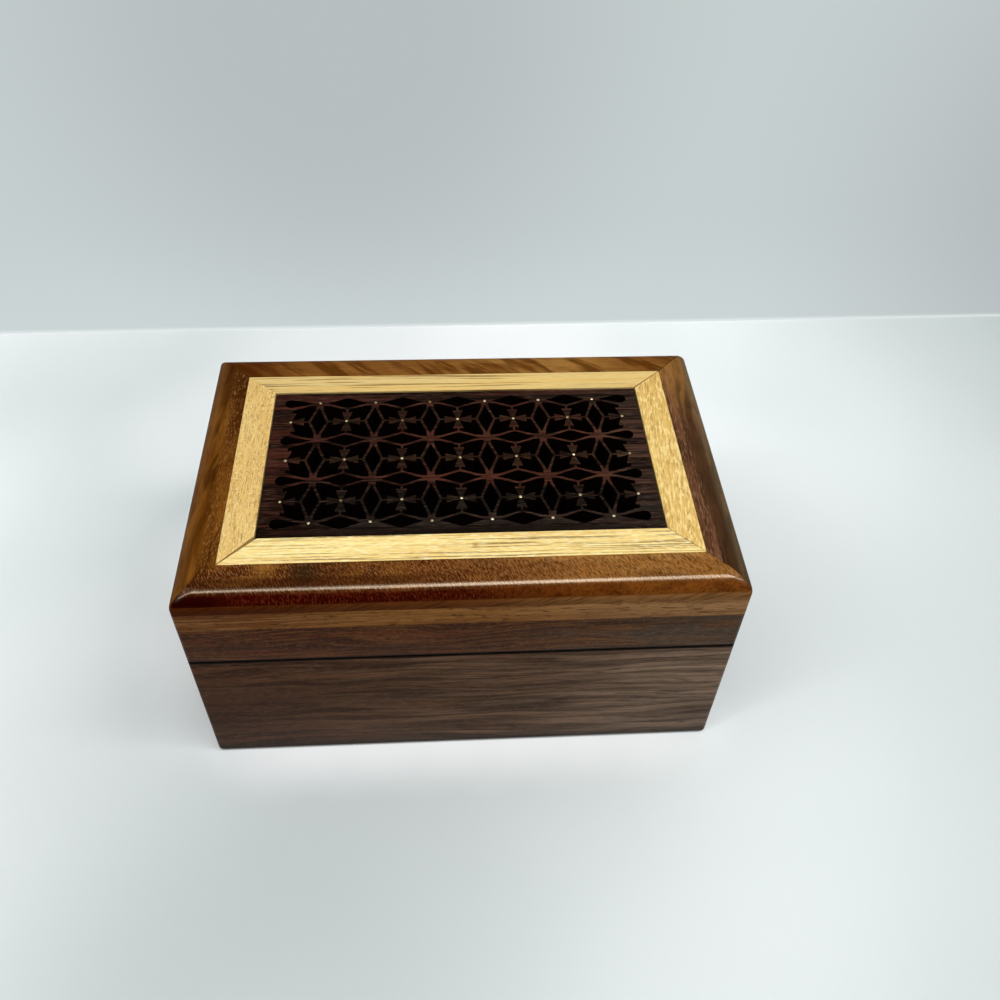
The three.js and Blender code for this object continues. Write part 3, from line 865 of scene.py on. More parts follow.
hinges = {
    "bevel": 3.0,  # of the back edges, which stops the open lid
    "openAngle": 95,
    "clearance": 0.3,  # round leaves and knuckles
    "leafThickness": 1.0,
    "screwHole": 0.75,  # radius
    "holeSides": 20,
    "holeDepth": 0.4,  # beyond the screw
    "past": 2,  # how far a cutter reaches past the wood
    "into": 3,  # and past the closing line, where there is only air
    "pinEase": 0.15,
}
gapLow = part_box("body_back")[1].z / mm
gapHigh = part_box("lid_rim_back")[0].z / mm
axis = Vector(next(j for j in frame["joints"] if j["name"] == "lid_hinge")["pos_m"]) / mm
print("hinge line", [round(v, 3) for v in axis])


def boxMesh(name, low, high):
    work = bmesh.new()
    bmesh.ops.create_cube(work, size=1)
    for v in work.verts:
        v.co = [(a + b) / 2 + c * (b - a) for a, b, c in zip(low, high, v.co)]
    return meshObject(name, meshFrom(work, name))


# the bevel, the leaf and knuckle seats and the screw holes of the body or of the lid, as one collection
def backCutters(name, direction):
    cutters = bpy.data.collections.new(name)
    face = gapLow if direction < 0 else gapHigh
    slope = math.tan(math.radians(hinges["openAngle"] / 2))
    past, into, space = hinges["past"], hinges["into"], hinges["clearance"]
    reach = hinges["bevel"] + past
    y = axis.y
    outline = [
        (y, face),
        (y + reach, face + direction * reach * slope),
        (y + reach, axis.z - direction * into),
        (y, axis.z - direction * into),
    ]
    work = bmesh.new()
    ends = [[work.verts.new((side * (boxWidth / 2 + past), *point)) for point in outline] for side in (-1, 1)]
    for i in range(4):
        j = (i + 1) % 4
        work.faces.new((ends[0][i], ends[0][j], ends[1][j], ends[1][i]))
    work.faces.new(ends[0])
    work.faces.new(ends[1])
    made = [meshObject(name + "Bevel", meshFrom(work, name + "Bevel"))]
    owner = "body" if direction < 0 else "lid"
    for hand in ("left", "right"):
        low, high = cornersOf(f"hinge_{hand}_{owner}_leaf")
        pinLow, pinHigh = cornersOf(f"hinge_{hand}_pin")
        radius = high.y - axis.y
        seats = {
            "Plate": (low.y - space, face - direction * into, face + direction * hinges["leafThickness"]),
            "Barrel": (y - radius - space, axis.z - direction, axis.z + direction * (radius + space)),
        }
        for kind, (inner, *heights) in seats.items():
            lower, upper = sorted(heights)
            made.append(boxMesh(
                f"{name}{kind}{hand}", (pinLow.x - space, inner, lower), (pinHigh.x + space, y + reach, upper),
            ))
        for number in (1, 2):
            screwLow, screwHigh = cornersOf(f"hinge_{hand}_{owner}_screw_{number}")
            work = bmesh.new()
            bmesh.ops.create_cone(
                work, cap_ends=True, segments=hinges["holeSides"], radius1=hinges["screwHole"],
                radius2=hinges["screwHole"], depth=screwHigh.z - screwLow.z + hinges["holeDepth"],
                matrix=Matrix.Translation((screwLow + screwHigh) / 2),
            )
            hole = f"{name}Hole{hand}{number}"
            made.append(meshObject(hole, meshFrom(work, hole)))
    for piece in made:
        cutters.objects.link(piece)
    return cutters


def cutBack(piece, cutters):
    cut = piece.modifiers.new("backEdges", "BOOLEAN")
    cut.operand_type = "COLLECTION"
    cut.collection = cutters
    cut.solver = "EXACT"
    applyModifiers(piece)
    smoothByAngle(piece.data)


def removeCutters(cutters):
    for piece in list(cutters.objects):
        bpy.data.objects.remove(piece)
    bpy.data.collections.remove(cutters)


# ---- body

closedMitres = ((0.03, 0.03), (0.03, 0.03))
walls = {
    "cornerRadius": 1.4,
    "footRadius": 2.0,
    "footCornerRadius": 6.5,  # of the plan at the very bottom
    "easedRim": 0.2,  # the edges at the closing line
    "grooveDepth": 4.5,
}


def wallProfile():
    wall = railLayer("body_front")
    panelLow, panelHigh = cornersOf("body_bottom_panel")
    foot, ease, corner = walls["footRadius"], walls["easedRim"], walls["cornerRadius"]
    thickness = wall["inner"]
    top = wall["top"]
    groove = thickness - walls["grooveDepth"]
    profile = []
    for inset, height in arcPoints(foot, foot, foot, 180, 270, 12):
        profile.append((inset, height, corner + (walls["footCornerRadius"] - corner) * (inset / foot)))
    profile += [
        (thickness, 0, 0),
        (thickness, panelLow.z, 0),
        (groove, panelLow.z, 0),
        (groove, panelHigh.z, 0),
        (thickness, panelHigh.z, 0),
    ]
    profile += [(i, h, 0) for i, h in arcPoints(thickness - ease, top - ease, ease, 0, 90, 4)]
    profile += [(i, h, corner) for i, h in arcPoints(ease, top - ease, ease, 90, 180, 4)]
    return profile


bodyCutters = backCutters("bodyCutter", -1)
for number, side in enumerate(sides):
    wood = timber(f"varnishedWalnutWall_{side}", bodyWalnut, side, (37 * number, 0, 23 * number))
    wall = mitredRail(f"bodyWall_{side}", side, wallProfile(), closedMitres, wood)
    if side != "front":
        cutBack(wall, bodyCutters)
    place(wall, "box", "body_walnut", f"body_{side}")
removeCutters(bodyCutters)

panelMesh = frame["nodes"]["body_bottom_panel"].data
panelMesh.materials.clear()
panelMesh.materials.append(timber("oiledBirchPly", birchPly))
print("body walls made")


feltCut = {
    "ease": 0.35,
    "nap": 0.08,
    "columns": 60,
    "rows": 36,
    "seed": 7,
}


# a cut piece of felt with a soft edge, a little uneven
def feltSheet(name, node, body):
    low, high = cornersOf(node)
    random.seed(feltCut["seed"])
    work = bmesh.new()
    columns, rows = feltCut["columns"], feltCut["rows"]
    grid = {}
    for level in (0, 1):
        for i in range(columns + 1):
            for j in range(rows + 1):
                x = low.x + (high.x - low.x) * i / columns
                y = low.y + (high.y - low.y) * j / rows
                z = low.z if level == 0 else high.z
                edge = i in (0, columns) or j in (0, rows)
                if level == 1:
                    z -= feltCut["ease"] if edge else random.uniform(0, feltCut["nap"])
                grid[level, i, j] = work.verts.new((x, y, z))
    for i in range(columns):
        for j in range(rows):
            work.faces.new((grid[1, i, j], grid[1, i + 1, j], grid[1, i + 1, j + 1], grid[1, i, j + 1]))
            work.faces.new((grid[0, i, j], grid[0, i, j + 1], grid[0, i + 1, j + 1], grid[0, i + 1, j]))
    rim = [(i, 0) for i in range(columns)] + [(columns, j) for j in range(rows)]
    rim += [(i, rows) for i in range(columns, 0, -1)] + [(0, j) for j in range(rows, 0, -1)]
    for here, ahead in zip(rim, rim[1:] + rim[:1]):
        work.faces.new((grid[0, *here], grid[0, *ahead], grid[1, *ahead], grid[1, *here]))
    mesh = meshFrom(work, name)
    smoothByAngle(mesh, 60)
    sheet = meshObject(name, mesh, felt)
    place(sheet, body, "black_felt", node)
    return sheet, ((high.x - low.x) * mm, (high.y - low.y) * mm)


floorFelt, feltSize = feltSheet("floorFelt", "body_floor_felt", "box")
print("body felt made")


# ---- lid

lid = {
    "easedRim": 0.2,
    "roundover": 6.35,
    "roundoverSteps": 28,
    # hands have polished the top of the front's rounded edge, and more of it at the corners
    "arris": {"low": 88.5, "high": 89.15, "corner": 82.5, "cornerLow": 86.4},
    "polish": {"gloss": 0.6, "roughness": 0.2, "glossTint": "ffeacd", "bump": 0.06},
    "innerEase": 0.08,
    "cornerRadius": 1.4,
    "boardSteps": 8,
}
# the frame's corners, sanded by hand: the radius at the foot and that of the ridge between two rounded edges,
# for the left end, then the right end
softCorner, backRightCorner, crispCorner = (1.4, 6.0), (1.4, 2.4), (0.5, 0.3)
frameCorners = {
    "front": (softCorner, softCorner),
    "right": (softCorner, backRightCorner),
    "back": (backRightCorner, crispCorner),
    "left": (crispCorner, softCorner),
}
# how open each mitre is: (at the outer edge, at the inner edge) for the left end, then the right end,
# seen from outside that side
frameGaps = {
    "front": ((0.05, 0.05), (0.05, 0.05)),
    "right": ((0.05, 0.05), (0.14, 0.2)),
    "back": ((0.14, 0.2), (0.05, 0.05)),
    "left": ((0.05, 0.05), (0.05, 0.05)),
}
mapleGaps = {
    "front": ((0.25, 0.95), (0.14, 0.14)),
    "right": ((0.14, 0.14), (0.22, 0.3)),
    "back": ((0.22, 0.3), (0.06, 0.06)),
    "left": ((0.06, 0.06), (0.25, 0.95)),
}


def rimProfile():
    rim = railLayer("lid_rim_front")
    ease, corner = lid["easedRim"], lid["cornerRadius"]
    base, top, inner = rim["base"], rim["top"], rim["inner"]
    profile = [(i, h, corner) for i, h in arcPoints(ease, base + ease, ease, 180, 270, 4)]
    profile += [(i, h, 0) for i, h in arcPoints(inner - ease, base + ease, ease, 270, 360, 4)]
    profile += [(inner, top, 0), (0, top, corner)]
    return profile


def frameProfile(side):
    rail = railLayer("top_frame_front")
    radius, ease = lid["roundover"], lid["innerEase"]
    base, top, inner = rail["base"], rail["top"], rail["inner"]
    profile = [(inner, base, 0), (0, base, tuple(foot for foot, ridge in frameCorners[side]))]
    for inset, height in arcPoints(radius, top - radius, radius, 180, 90, lid["roundoverSteps"]):
        ends = tuple(foot + (ridge - foot) * inset / radius for foot, ridge in frameCorners[side])
        profile.append((inset, height, ends))
    profile += [(inner - ease, top, 0), (inner, top - ease, 0)]
    return profile


# how wide the maple strip of a side is, from its outer edge to the panel
def mapleWidth(side):
    low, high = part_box(f"maple_frame_{side}")
    return min(high.x - low.x, high.y - low.y) / mm


def mapleProfile(side):
    rail = railLayer("maple_frame_front")
    ease = lid["innerEase"]
    base, top, outer = rail["base"], rail["top"], rail["outer"]
    inner = outer + mapleWidth(side)
    return [
        (outer, base, 0), (outer, top - ease, 0), (outer + ease, top, 0),
        (inner - 2 * ease, top, 0), (inner, top - 2 * ease, 0), (inner, base, 0),
    ]


lidCutters = backCutters("lidCutter", 1)
for number, side in enumerate(sides):
    wood = timber(f"varnishedWalnutRim_{side}", rimWalnut, side, (61 * number, 0, 17 * number))
    rim = mitredRail(f"lidRim_{side}", side, rimProfile(), closedMitres, wood)
    if side != "front":
        cutBack(rim, lidCutters)
    place(rim, "lid", "rim_walnut", f"lid_rim_{side}")

    wood = timber(f"satinFiguredWalnut_{side}", frameWalnut[side], side)
    rail = mitredRail(f"frameRail_{side}", side, frameProfile(side), frameGaps[side], wood)
    if side == "front":
        polished = timber("polishedFiguredWalnut", {**frameWalnut[side], **lid["polish"]}, side)
        finishBetween(rail, polished, **lid["arris"])
    place(rail, "lid", "figured_walnut", f"top_frame_{side}")

    kind = {"front": mapleFront, "back": mapleBack, "right": mapleStreaked}.get(side, mapleFlecked)
    wood = timber(f"planedMaple_{side}", kind, side, (43 * number, 11 * number, 0))
    widths = [mapleWidth(s) for s in (sideBefore[side], side, sideAfter[side])]
    slopes = (widths[0] / widths[1], widths[2] / widths[1])
    strip = mitredRail(f"mapleStrip_{side}", side, mapleProfile(side), mapleGaps[side], wood, slopes)
    place(strip, "lid", "maple", f"maple_frame_{side}")
removeCutters(lidCutters)
print("lid rails made")


# the board between rim and frame, with the box's eased corners
def lidBoard():
    low, high = cornersOf("lid_board")
    work = bmesh.new()
    radius = lid["cornerRadius"]
    outline = []
    for start, (right, behind) in zip((0, 90, 180, 270), ((1, 1), (-1, 1), (-1, -1), (1, -1))):
        outline += arcPoints(right * (high.x - radius), behind * (high.y - radius), radius, start, start + 90,
                             lid["boardSteps"])
    rings = [[work.verts.new((x, y, z)) for x, y in outline] for z in (low.z, high.z)]
    work.faces.new(reversed(rings[0]))
    work.faces.new(rings[1])
    for i in range(len(outline)):
        j = (i + 1) % len(outline)
        work.faces.new((rings[0][i], rings[0][j], rings[1][j], rings[1][i]))
    mesh = meshFrom(work, "lidBoard")
    smoothByAngle(mesh)
    return meshObject("lidBoard", mesh, timber("openPoredWalnutBoard", boardWalnut))


place(lidBoard(), "lid", "board_walnut", "lid_board")

backingFelt, backingSize = feltSheet("backingFelt", "fret_backing_felt", "lid")
print("lid board and felt made")


# ---- fretwork

fretwork = {
    "columnPitch": 19.6,
    "rowPitch": 19.2,
    "columns": 6,
    "rows": 4,
    "barWidth": 1.1,
    "openingWidth": 5.3,
    "tipGap": 5.1,
    "roundness": 0.3,
    "diamondRoundness": 0.08,
    "lensSteps": 24,
    "diamondSteps": 20,
    "teardropSteps": 22,
    "teardropSweep": 210,
    "teardropLength": 10.4,
    "teardropRadius": 2.1,
    "teardropTip": 1.95,
    "fanLength": 4.5,
    "fanHalfWidth": 1.9,
    "fanEndTaper": 0.4,
    "fanShoulder": (0.3, 0.93),  # how far back it starts, as a share of the taper, and how wide it is there
    "neckHalfWidth": 0.45,
    "pinBoss": 0.6,
    "starReach": 1.25,
    "barShare": 0.75,  # of the way to the star, where a bar's edge turns
    "wobble": 0.16,  # the saw's wander
    "wobbleSize": 6.0,
    "pointStep": 0.8,
    "seed": 4,
    "easedEdge": 0.07,
    "shift": (-0.2, 0.2),  # of the lattice on its panel
}
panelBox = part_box("fret_panel")
latticeMiddle = [(panelBox[0][i] + panelBox[1][i]) / 2 / mm + fretwork["shift"][i] for i in (0, 1)]


# one side of a lens or diamond, from its first tip to just before the other
def bulge(length, height, roundness, steps):
    points = []
    for i in range(steps):
        along = -1 + 2 * i / steps
        straight = 1 - abs(along)
        curved = math.cos(along * math.pi / 2) ** 2
        points.append((along * length / 2, height * (straight + (curved - straight) * roundness)))
    return points


def lensOutline(f):
    upper = bulge(f["columnPitch"] - f["tipGap"], f["openingWidth"] / 2, f["roundness"], f["lensSteps"])
    return upper + [(-x, -y) for x, y in upper]


def diamondOutline(f):
    length, height = f["rowPitch"] - f["tipGap"], f["openingWidth"] / 2
    side = bulge(length, height, f["diamondRoundness"], f["diamondSteps"])
    return [(-y, x) for x, y in side + [(-x, -y) for x, y in side]]


def teardropOutline(f):
    radius = f["teardropRadius"]
    half = f["teardropSweep"] / 2
    return [(0, 0)] + arcPoints(f["teardropLength"] - radius, 0, radius, -half, half, f["teardropSteps"])


# the opening's edge along one fan, round its end, along the neck and up the bar
def fanEdge(f, halfPitch, halfCross):
    end = f["fanLength"] + f["fanEndTaper"]
    barFace = halfPitch - f["openingWidth"] / 2 - f["barWidth"]
    barSlope = f["openingWidth"] / (2 * halfCross - f["tipGap"])
    barEnd = (halfCross - f["starReach"]) * f["barShare"]
    shoulderBack, shoulderWide = f["fanShoulder"]
    return [
        (f["fanLength"], f["fanHalfWidth"]),
        (end - f["fanEndTaper"] * shoulderBack, f["fanHalfWidth"] * shoulderWide),
        (end, f["fanHalfWidth"] - f["fanEndTaper"]),
        (end - f["fanEndTaper"] / 2, f["neckHalfWidth"]),
        (barFace + barSlope * f["neckHalfWidth"], f["neckHalfWidth"]),
        (barFace + barSlope * barEnd, barEnd),
    ]


def cellOutline(f):
    halfX, halfY = f["columnPitch"] / 2, f["rowPitch"] / 2
    lower = fanEdge(f, halfX, halfY)
    upper = [(y, x) for x, y in fanEdge(f, halfY, halfX)]
    corner = [(halfX - f["starReach"], halfY - f["starReach"])]
    return [(f["pinBoss"], f["pinBoss"])] + lower + corner + upper[::-1]


# more points along straight edges, so that the saw's wander shows in them
def finer(points, step):
    made = []
    for here, ahead in zip(points, points[1:] + points[:1]):
        count = max(1, round(math.dist(here, ahead) / step))
        made += [tuple(h + (a - h) * i / count for h, a in zip(here, ahead)) for i in range(count)]
    return made


def outlineCurve(name, outlines):
    curve = bpy.data.curves.new(name, "CURVE")
    curve.dimensions = "3D"
    for points in outlines:
        spline = curve.splines.new("POLY")
        points = finer(points, fretwork["pointStep"])
        spline.points.add(len(points) - 1)
        for point, (x, y) in zip(spline.points, points):
            point.co = (x * mm, y * mm, 0, 1)
        spline.use_cyclic_u = True
    piece = bpy.data.objects.new(name, curve)
    bpy.context.scene.collection.objects.link(piece)
    return piece


def flipped(points, flipX, flipY):
    return [(x * flipX, y * flipY) for x, y in points]


# an empty tree; its inputs are listed by kind
def newTree(name, inputs):
    tree = bpy.data.node_groups.new(name, "GeometryNodeTree")
    for kind, labels in inputs.items():
        for label in labels:
            tree.interface.new_socket(label, in_out="INPUT", socket_type="NodeSocket" + kind)
    tree.interface.new_socket("Geometry", in_out="OUTPUT", socket_type="NodeSocketGeometry")
    return tree


# gives the object the mesh that the tree makes of it
def useTree(piece, tree, values, smoothAngle):
    modifier = piece.modifiers.new(tree.name, "NODES")
    modifier.node_group = tree
    for item in tree.interface.items_tree:
        if item.item_type == "SOCKET" and item.in_out == "INPUT" and item.name in values:
            modifier[item.identifier] = values[item.name]
    applyModifiers(piece)
    smoothByAngle(piece.data, smoothAngle)


# The lattice: each motif stands on its own grid of points, the saw's wander moves the outlines, and
# the panel is what is left of its rectangle, raised to its thickness
def fretworkTree(motifs):
    tree = newTree("fretworkLattice", {
        "Geometry": ["Geometry"],
        "Float": ["Width", "Depth", "Thickness", "Eased edge", "Column pitch", "Row pitch", "Wander", "Wander size",
                  "Seed"],
        "Vector": ["Place", "Shift"],
        "Material": ["Material", "Sawn and shaded material"],
        "Object": [m["label"] for m in motifs],
    })
    given = addNode(tree, "NodeGroupInput")
    lattice = []
    for motif in motifs:
        spanX, spanY = [
            addNode(tree, "Math", {0: (given, pitch), 1: float(count)}, operation="MULTIPLY")
            for pitch, count in zip(("Column pitch", "Row pitch"), motif["pitches"])
        ]
        grid = addNode(tree, "GeometryNodeMeshGrid", {
            "Size X": spanX, "Size Y": spanY, "Vertices X": motif["count"][0], "Vertices Y": motif["count"][1],
        })
        shape = addNode(tree, "GeometryNodeObjectInfo", {"Object": (given, motif["label"])})
        links = {"Points": (grid, "Mesh"), "Instance": (shape, "Geometry")}
        if motif.get("mirrored"):
            # the left end's motif is the right end's, turned round
            spot = addNode(tree, "GeometryNodeInputPosition")
            spotAxes = addNode(tree, "SeparateXYZ", {0: spot})
            isLeft = addNode(tree, "Math", {0: (spotAxes, "X"), 1: 0.0}, operation="LESS_THAN")
            angle = addNode(tree, "Math", {0: isLeft, 1: math.pi}, operation="MULTIPLY")
            links["Rotation"] = addNode(tree, "CombineXYZ", {"Z": angle})
        lattice.append(addNode(tree, "GeometryNodeInstanceOnPoints", links))
    joined = addNode(tree, "GeometryNodeJoinGeometry", {0: lattice})
    real = addNode(tree, "GeometryNodeRealizeInstances", {"Geometry": joined})
    spot = addNode(tree, "GeometryNodeInputPosition")
    perSize = addNode(tree, "Math", {0: 1.0, 1: (given, "Wander size")}, operation="DIVIDE")
    noise = addNode(tree, "TexNoise", {
        "Vector": spot, "W": (given, "Seed"), "Scale": perSize, "Detail": 2.0,
    }, noise_dimensions="4D")
    centred = addNode(tree, "VectorMath", {0: (noise, "Color"), 1: (0.5,) * 3}, operation="SUBTRACT")
    flat = addNode(tree, "VectorMath", {0: centred, 1: (2, 2, 0)}, operation="MULTIPLY")
    move = addNode(tree, "VectorMath", {0: flat, "Scale": (given, "Wander")}, operation="SCALE")
    total = addNode(tree, "VectorMath", {0: move, 1: (given, "Shift")}, operation="ADD")
    wandered = addNode(tree, "GeometryNodeSetPosition", {"Geometry": real, "Offset": total})
    border = addNode(tree, "GeometryNodeCurvePrimitiveQuadrilateral", {
        "Width": (given, "Width"), "Height": (given, "Depth"),
    })
    outlines = addNode(tree, "GeometryNodeJoinGeometry", {0: [wandered, border]})
    sheet = addNode(tree, "GeometryNodeFillCurve", {"Curve": outlines}, mode="TRIANGLES")
    straight = addNode(tree, "Math", {0: (given, "Thickness"), 1: (given, "Eased edge")}, operation="SUBTRACT")
    raised = addNode(tree, "GeometryNodeExtrudeMesh", {
        "Mesh": sheet, "Offset": (0, 0, 1), "Offset Scale": straight, "Individual": False,
    })
    # the sawn walls take the near-black wood with its painted shade
    sawn = addNode(tree, "GeometryNodeSetMaterial", {
        "Geometry": raised, "Selection": (raised, "Side"), "Material": (given, "Sawn and shaded material"),
    })
    # the upper edges are eased: the last step up also draws each outline back into the wood
    easing = addNode(tree, "GeometryNodeExtrudeMesh", {
        "Mesh": sawn, "Selection": (raised, "Top"), "Offset": (0, 0, 1), "Offset Scale": (given, "Eased edge"),
        "Individual": False,
    })
    normal = addNode(tree, "GeometryNodeInputNormal")
    level = addNode(tree, "VectorMath", {0: normal, 1: (1, 1, 0)}, operation="MULTIPLY")
    outwards = addNode(tree, "VectorMath", {0: level}, operation="NORMALIZE")
    reach = addNode(tree, "Math", {0: (given, "Eased edge"), 1: -1.0}, operation="MULTIPLY")
    inwards = addNode(tree, "VectorMath", {0: outwards, "Scale": reach}, operation="SCALE")
    eased = addNode(tree, "GeometryNodeSetPosition", {
        "Geometry": easing, "Selection": (easing, "Top"), "Offset": inwards,
    })
    chamfer = addNode(tree, "GeometryNodeSetMaterial", {
        "Geometry": eased, "Selection": (easing, "Side"), "Material": (given, "Sawn and shaded material"),
    })
    faced = addNode(tree, "GeometryNodeSetMaterial", {
        "Geometry": chamfer, "Selection": (easing, "Top"), "Material": (given, "Material"),
    })
    under = addNode(tree, "GeometryNodeFlipFaces", {"Mesh": sheet})
    underneath = addNode(tree, "GeometryNodeSetMaterial", {"Geometry": under, "Material": (given, "Material")})
    both = addNode(tree, "GeometryNodeJoinGeometry", {0: [faced, underneath]})
    welded = addNode(tree, "GeometryNodeMergeByDistance", {"Geometry": both, "Distance": 0.001 * mm})
    placed = addNode(tree, "GeometryNodeTransform", {"Geometry": welded, "Translation": (given, "Place")})
    alone = addNode(tree, "GeometryNodeRealizeInstances", {"Geometry": placed})
    addNode(tree, "NodeGroupOutput", {0: alone})
    return tree


def fretPanel():
    f = fretwork
    low, high = panelBox
    cell = cellOutline(f)
    halfX, halfY = f["columnPitch"] / 2, f["rowPitch"] / 2
    columns, rows = f["columns"], f["rows"]
    tip = f["teardropTip"]
    quarters = [(1, 1), (1, -1), (-1, 1), (-1, -1)]
    motifs = [
        {"label": "Lens", "outlines": [lensOutline(f)], "count": (columns - 1, rows)},
        {"label": "Diamond", "outlines": [diamondOutline(f)], "count": (columns, rows - 1)},
        {"label": "Cell", "outlines": [flipped(cell, *q) for q in quarters], "count": (columns - 1, rows - 1)},
        {"label": "Teardrop", "outlines": [[(x + tip, y) for x, y in teardropOutline(f)]], "count": (2, rows),
         "mirrored": True, "apart": columns - 1},
        {"label": "Half cell", "outlines": [flipped(cell, -1, 1), flipped(cell, -1, -1)], "count": (2, rows - 1),
         "mirrored": True, "apart": columns},
    ]
    for motif in motifs:
        across = motif.get("apart", motif["count"][0] - 1)
        motif["pitches"] = (across, motif["count"][1] - 1)
        motif["shape"] = outlineCurve("outline" + motif["label"].replace(" ", ""), motif["outlines"])
    panel = meshObject("fretwork", bpy.data.meshes.new("fretwork"))
    values = {
        "Width": high.x - low.x,
        "Depth": high.y - low.y,
        "Thickness": high.z - low.z,
        "Place": ((low.x + high.x) / 2, (low.y + high.y) / 2, low.z),
        "Shift": tuple(v * mm for v in f["shift"]) + (0.0,),
        "Seed": float(f["seed"]),
        "Material": timber("oiledRosewood", rosewood),
        "Sawn and shaded material": timber("sawnRosewoodWithPaintedShade", sawnAndShadedRosewood),
    }
    lengths = {"Eased edge": "easedEdge", "Column pitch": "columnPitch", "Row pitch": "rowPitch",
               "Wander": "wobble", "Wander size": "wobbleSize"}
    values.update({label: f[key] * mm for label, key in lengths.items()})
    values.update({motif["label"]: motif["shape"] for motif in motifs})
    useTree(panel, fretworkTree(motifs), values, 40)
    for motif in motifs:
        bpy.data.objects.remove(motif["shape"])
    place(panel, "lid", "rosewood", "fret_panel")
    print("fretwork made:", len(panel.data.polygons), "faces")


fretPanel()


# ---- brass pins

pins = {
    "radius": 0.55,
    "crown": 0.26,  # height of the domed head
    "shank": 0.8,  # of the head's radius
    "length": 2.5,
    "jitter": 0.16,
    "smallest": 0.9,
    "largest": 1.08,
    "sides": 16,
    "rings": 10,
    "seed": 11,
}


def pinTree():
    tree = newTree("pinsOnPoints", {
        "Geometry": ["Geometry"], "Float": ["Radius", "Crown", "Length", "Jitter", "Shank", "Smallest", "Largest"],
        "Int": ["Sides", "Rings", "Seed"], "Material": ["Material"],
    })
    given = addNode(tree, "NodeGroupInput")
    ball = addNode(tree, "GeometryNodeMeshUVSphere", {
        "Segments": (given, "Sides"), "Rings": (given, "Rings"), "Radius": 1.0,
    })
    size = addNode(tree, "CombineXYZ", {"X": (given, "Radius"), "Y": (given, "Radius"), "Z": (given, "Crown")})
    head = addNode(tree, "GeometryNodeTransform", {"Geometry": ball, "Scale": size})
    slim = addNode(tree, "Math", {0: (given, "Radius"), 1: (given, "Shank")}, operation="MULTIPLY")
    shank = addNode(tree, "GeometryNodeMeshCylinder", {
        "Vertices": (given, "Sides"), "Radius": slim, "Depth": (given, "Length"),
    })
    lower = addNode(tree, "Math", {0: (given, "Length"), 1: -0.5}, operation="MULTIPLY")
    sink = addNode(tree, "CombineXYZ", {"Z": lower})
    sunk = addNode(tree, "GeometryNodeTransform", {"Geometry": (shank, "Mesh"), "Translation": sink})
    pin = addNode(tree, "GeometryNodeMeshBoolean", {"Mesh 2": [head, sunk]}, operation="UNION", solver="EXACT")
    reach = addNode(tree, "CombineXYZ", {"X": (given, "Jitter"), "Y": (given, "Jitter")})
    back = addNode(tree, "VectorMath", {0: reach, "Scale": -1.0}, operation="SCALE")
    wander = addNode(tree, "FunctionNodeRandomValue", {
        "Min": back, "Max": reach, "Seed": (given, "Seed"),
    }, data_type="FLOAT_VECTOR")
    moved = addNode(tree, "GeometryNodeSetPosition", {"Geometry": (given, "Geometry"), "Offset": wander})
    scale = addNode(tree, "FunctionNodeRandomValue", {
        2: (given, "Smallest"), 3: (given, "Largest"), "Seed": (given, "Seed"),
    }, data_type="FLOAT")
    stood = addNode(tree, "GeometryNodeInstanceOnPoints", {
        "Points": moved, "Instance": (pin, "Mesh"), "Scale": (scale, 1),
    })
    real = addNode(tree, "GeometryNodeRealizeInstances", {"Geometry": stood})
    finished = addNode(tree, "GeometryNodeSetMaterial", {"Geometry": real, "Material": (given, "Material")})
    addNode(tree, "NodeGroupOutput", {0: finished})
    return tree


# a pin in the middle of every cell and half cell, and in the stars of the first and last rows
def pinPlaces():
    f = fretwork
    top = panelBox[1].z / mm
    middleX, middleY = latticeMiddle
    starX = [middleX + (c - (f["columns"] - 1) / 2) * f["columnPitch"] for c in range(f["columns"])]
    starY = [middleY + (r - (f["rows"] - 1) / 2) * f["rowPitch"] for r in range(f["rows"])]
    places = [(x, y, top) for x in starX for y in (starY[0], starY[-1])]
    for y in starY[:-1]:
        for c in range(-1, f["columns"]):
            places.append((starX[0] + (c + 0.5) * f["columnPitch"], y + f["rowPitch"] / 2, top))
    return places


def brassPins():
    places = [tuple(v * mm for v in p) for p in pinPlaces()]
    mesh = bpy.data.meshes.new("brassPins")
    mesh.from_pydata(places, [], [])
    piece = meshObject("brassPins", mesh)
    useTree(piece, pinTree(), {
        **{key.capitalize(): pins[key] * mm for key in ("radius", "crown", "length", "jitter")},
        **{key.capitalize(): pins[key] for key in ("shank", "smallest", "largest", "sides", "rings", "seed")},
        "Material": pinBrass,
    }, 50)
    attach(piece, "lid")
    print("pins set:", len(places))


brassPins()


# ---- hinges

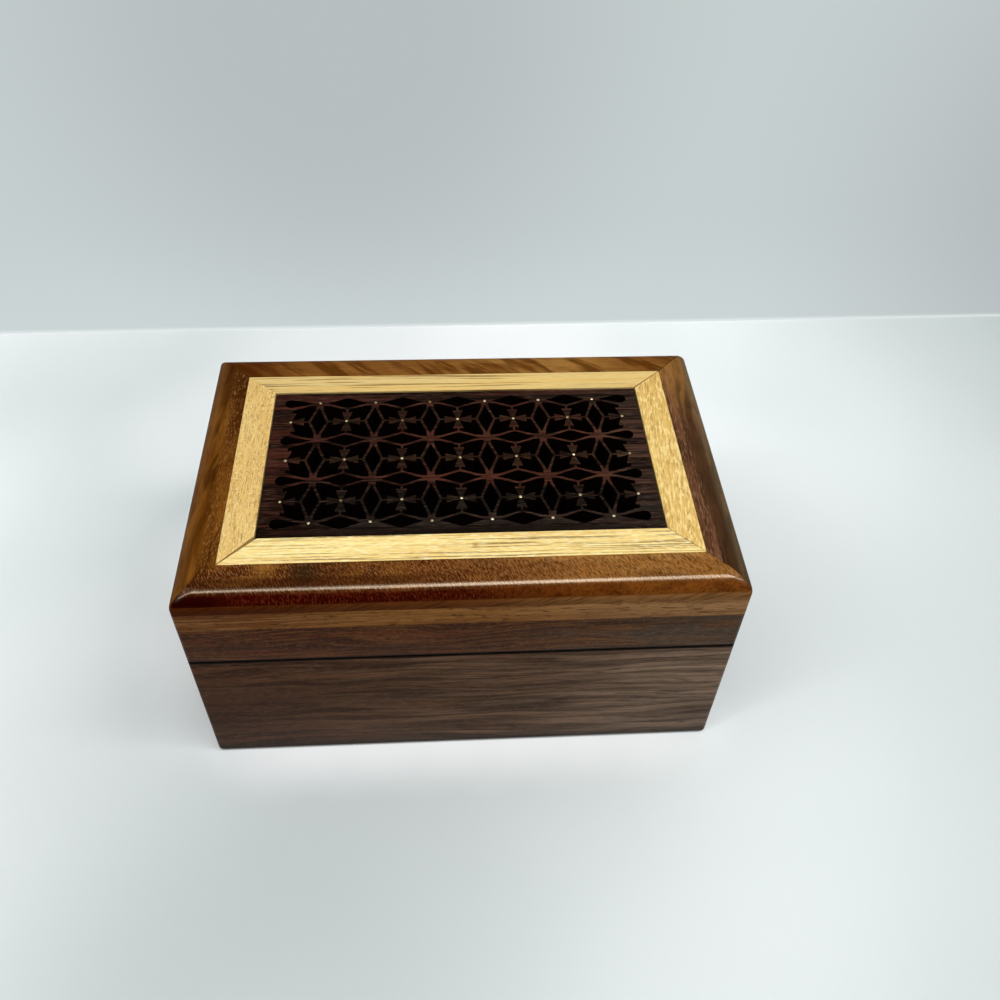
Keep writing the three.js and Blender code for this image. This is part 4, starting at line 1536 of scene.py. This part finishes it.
for hand in ("left", "right"):
    for owner, body in (("body", "box"), ("lid", "lid")):
        node = f"hinge_{hand}_{owner}_leaf"
        leaf = finerCopy(f"hingeLeaf_{hand}_{owner}", node, hingeBrass)
        place(leaf, body, "brass", node)
    pin = finerCopy(f"hingePin_{hand}", f"hinge_{hand}_pin", hingeBrass, hinges["pinEase"])
    place(pin, "box", "brass", f"hinge_{hand}_pin")


def screwTree():
    tree = newTree("screwsOnPoints", {
        "Geometry": ["Geometry"], "Object": ["Screw"], "Int": ["Seed"], "Material": ["Material"],
    })
    given = addNode(tree, "NodeGroupInput")
    shape = addNode(tree, "GeometryNodeObjectInfo", {"Object": (given, "Screw")})
    angle = addNode(tree, "FunctionNodeRandomValue", {
        2: 0.0, 3: math.pi, "Seed": (given, "Seed"),
    }, data_type="FLOAT")
    spin = addNode(tree, "CombineXYZ", {"Z": (angle, 1)})
    stood = addNode(tree, "GeometryNodeInstanceOnPoints", {
        "Points": (given, "Geometry"), "Instance": (shape, "Geometry"), "Rotation": spin,
    })
    real = addNode(tree, "GeometryNodeRealizeInstances", {"Geometry": stood})
    finished = addNode(tree, "GeometryNodeSetMaterial", {"Geometry": real, "Material": (given, "Material")})
    addNode(tree, "NodeGroupOutput", {0: finished})
    return tree


# the countersunk slotted screws of one body, each left where its last turn ended
def hingeScrews(owner, body, tree, seed):
    nodes = [f"hinge_{hand}_{owner}_screw_{i}" for hand in ("left", "right") for i in (1, 2)]
    shape = finerCopy("screwShape", nodes[0], hingeBrass)
    middles = [sum(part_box(n), Vector()) / 2 for n in nodes]
    shape.data.transform(Matrix.Translation(-middles[0]))
    mesh = bpy.data.meshes.new(f"hingeScrews_{owner}")
    mesh.from_pydata([tuple(m) for m in middles], [], [])
    piece = meshObject(f"hingeScrews_{owner}", mesh)
    useTree(piece, tree, {"Screw": shape, "Seed": seed, "Material": hingeBrass}, 30)
    bpy.data.objects.remove(shape)
    place(piece, body, "brass", *nodes)


screws = screwTree()
hingeScrews("body", "box", screws, 3)
hingeScrews("lid", "lid", screws, 8)
print("hinges made")
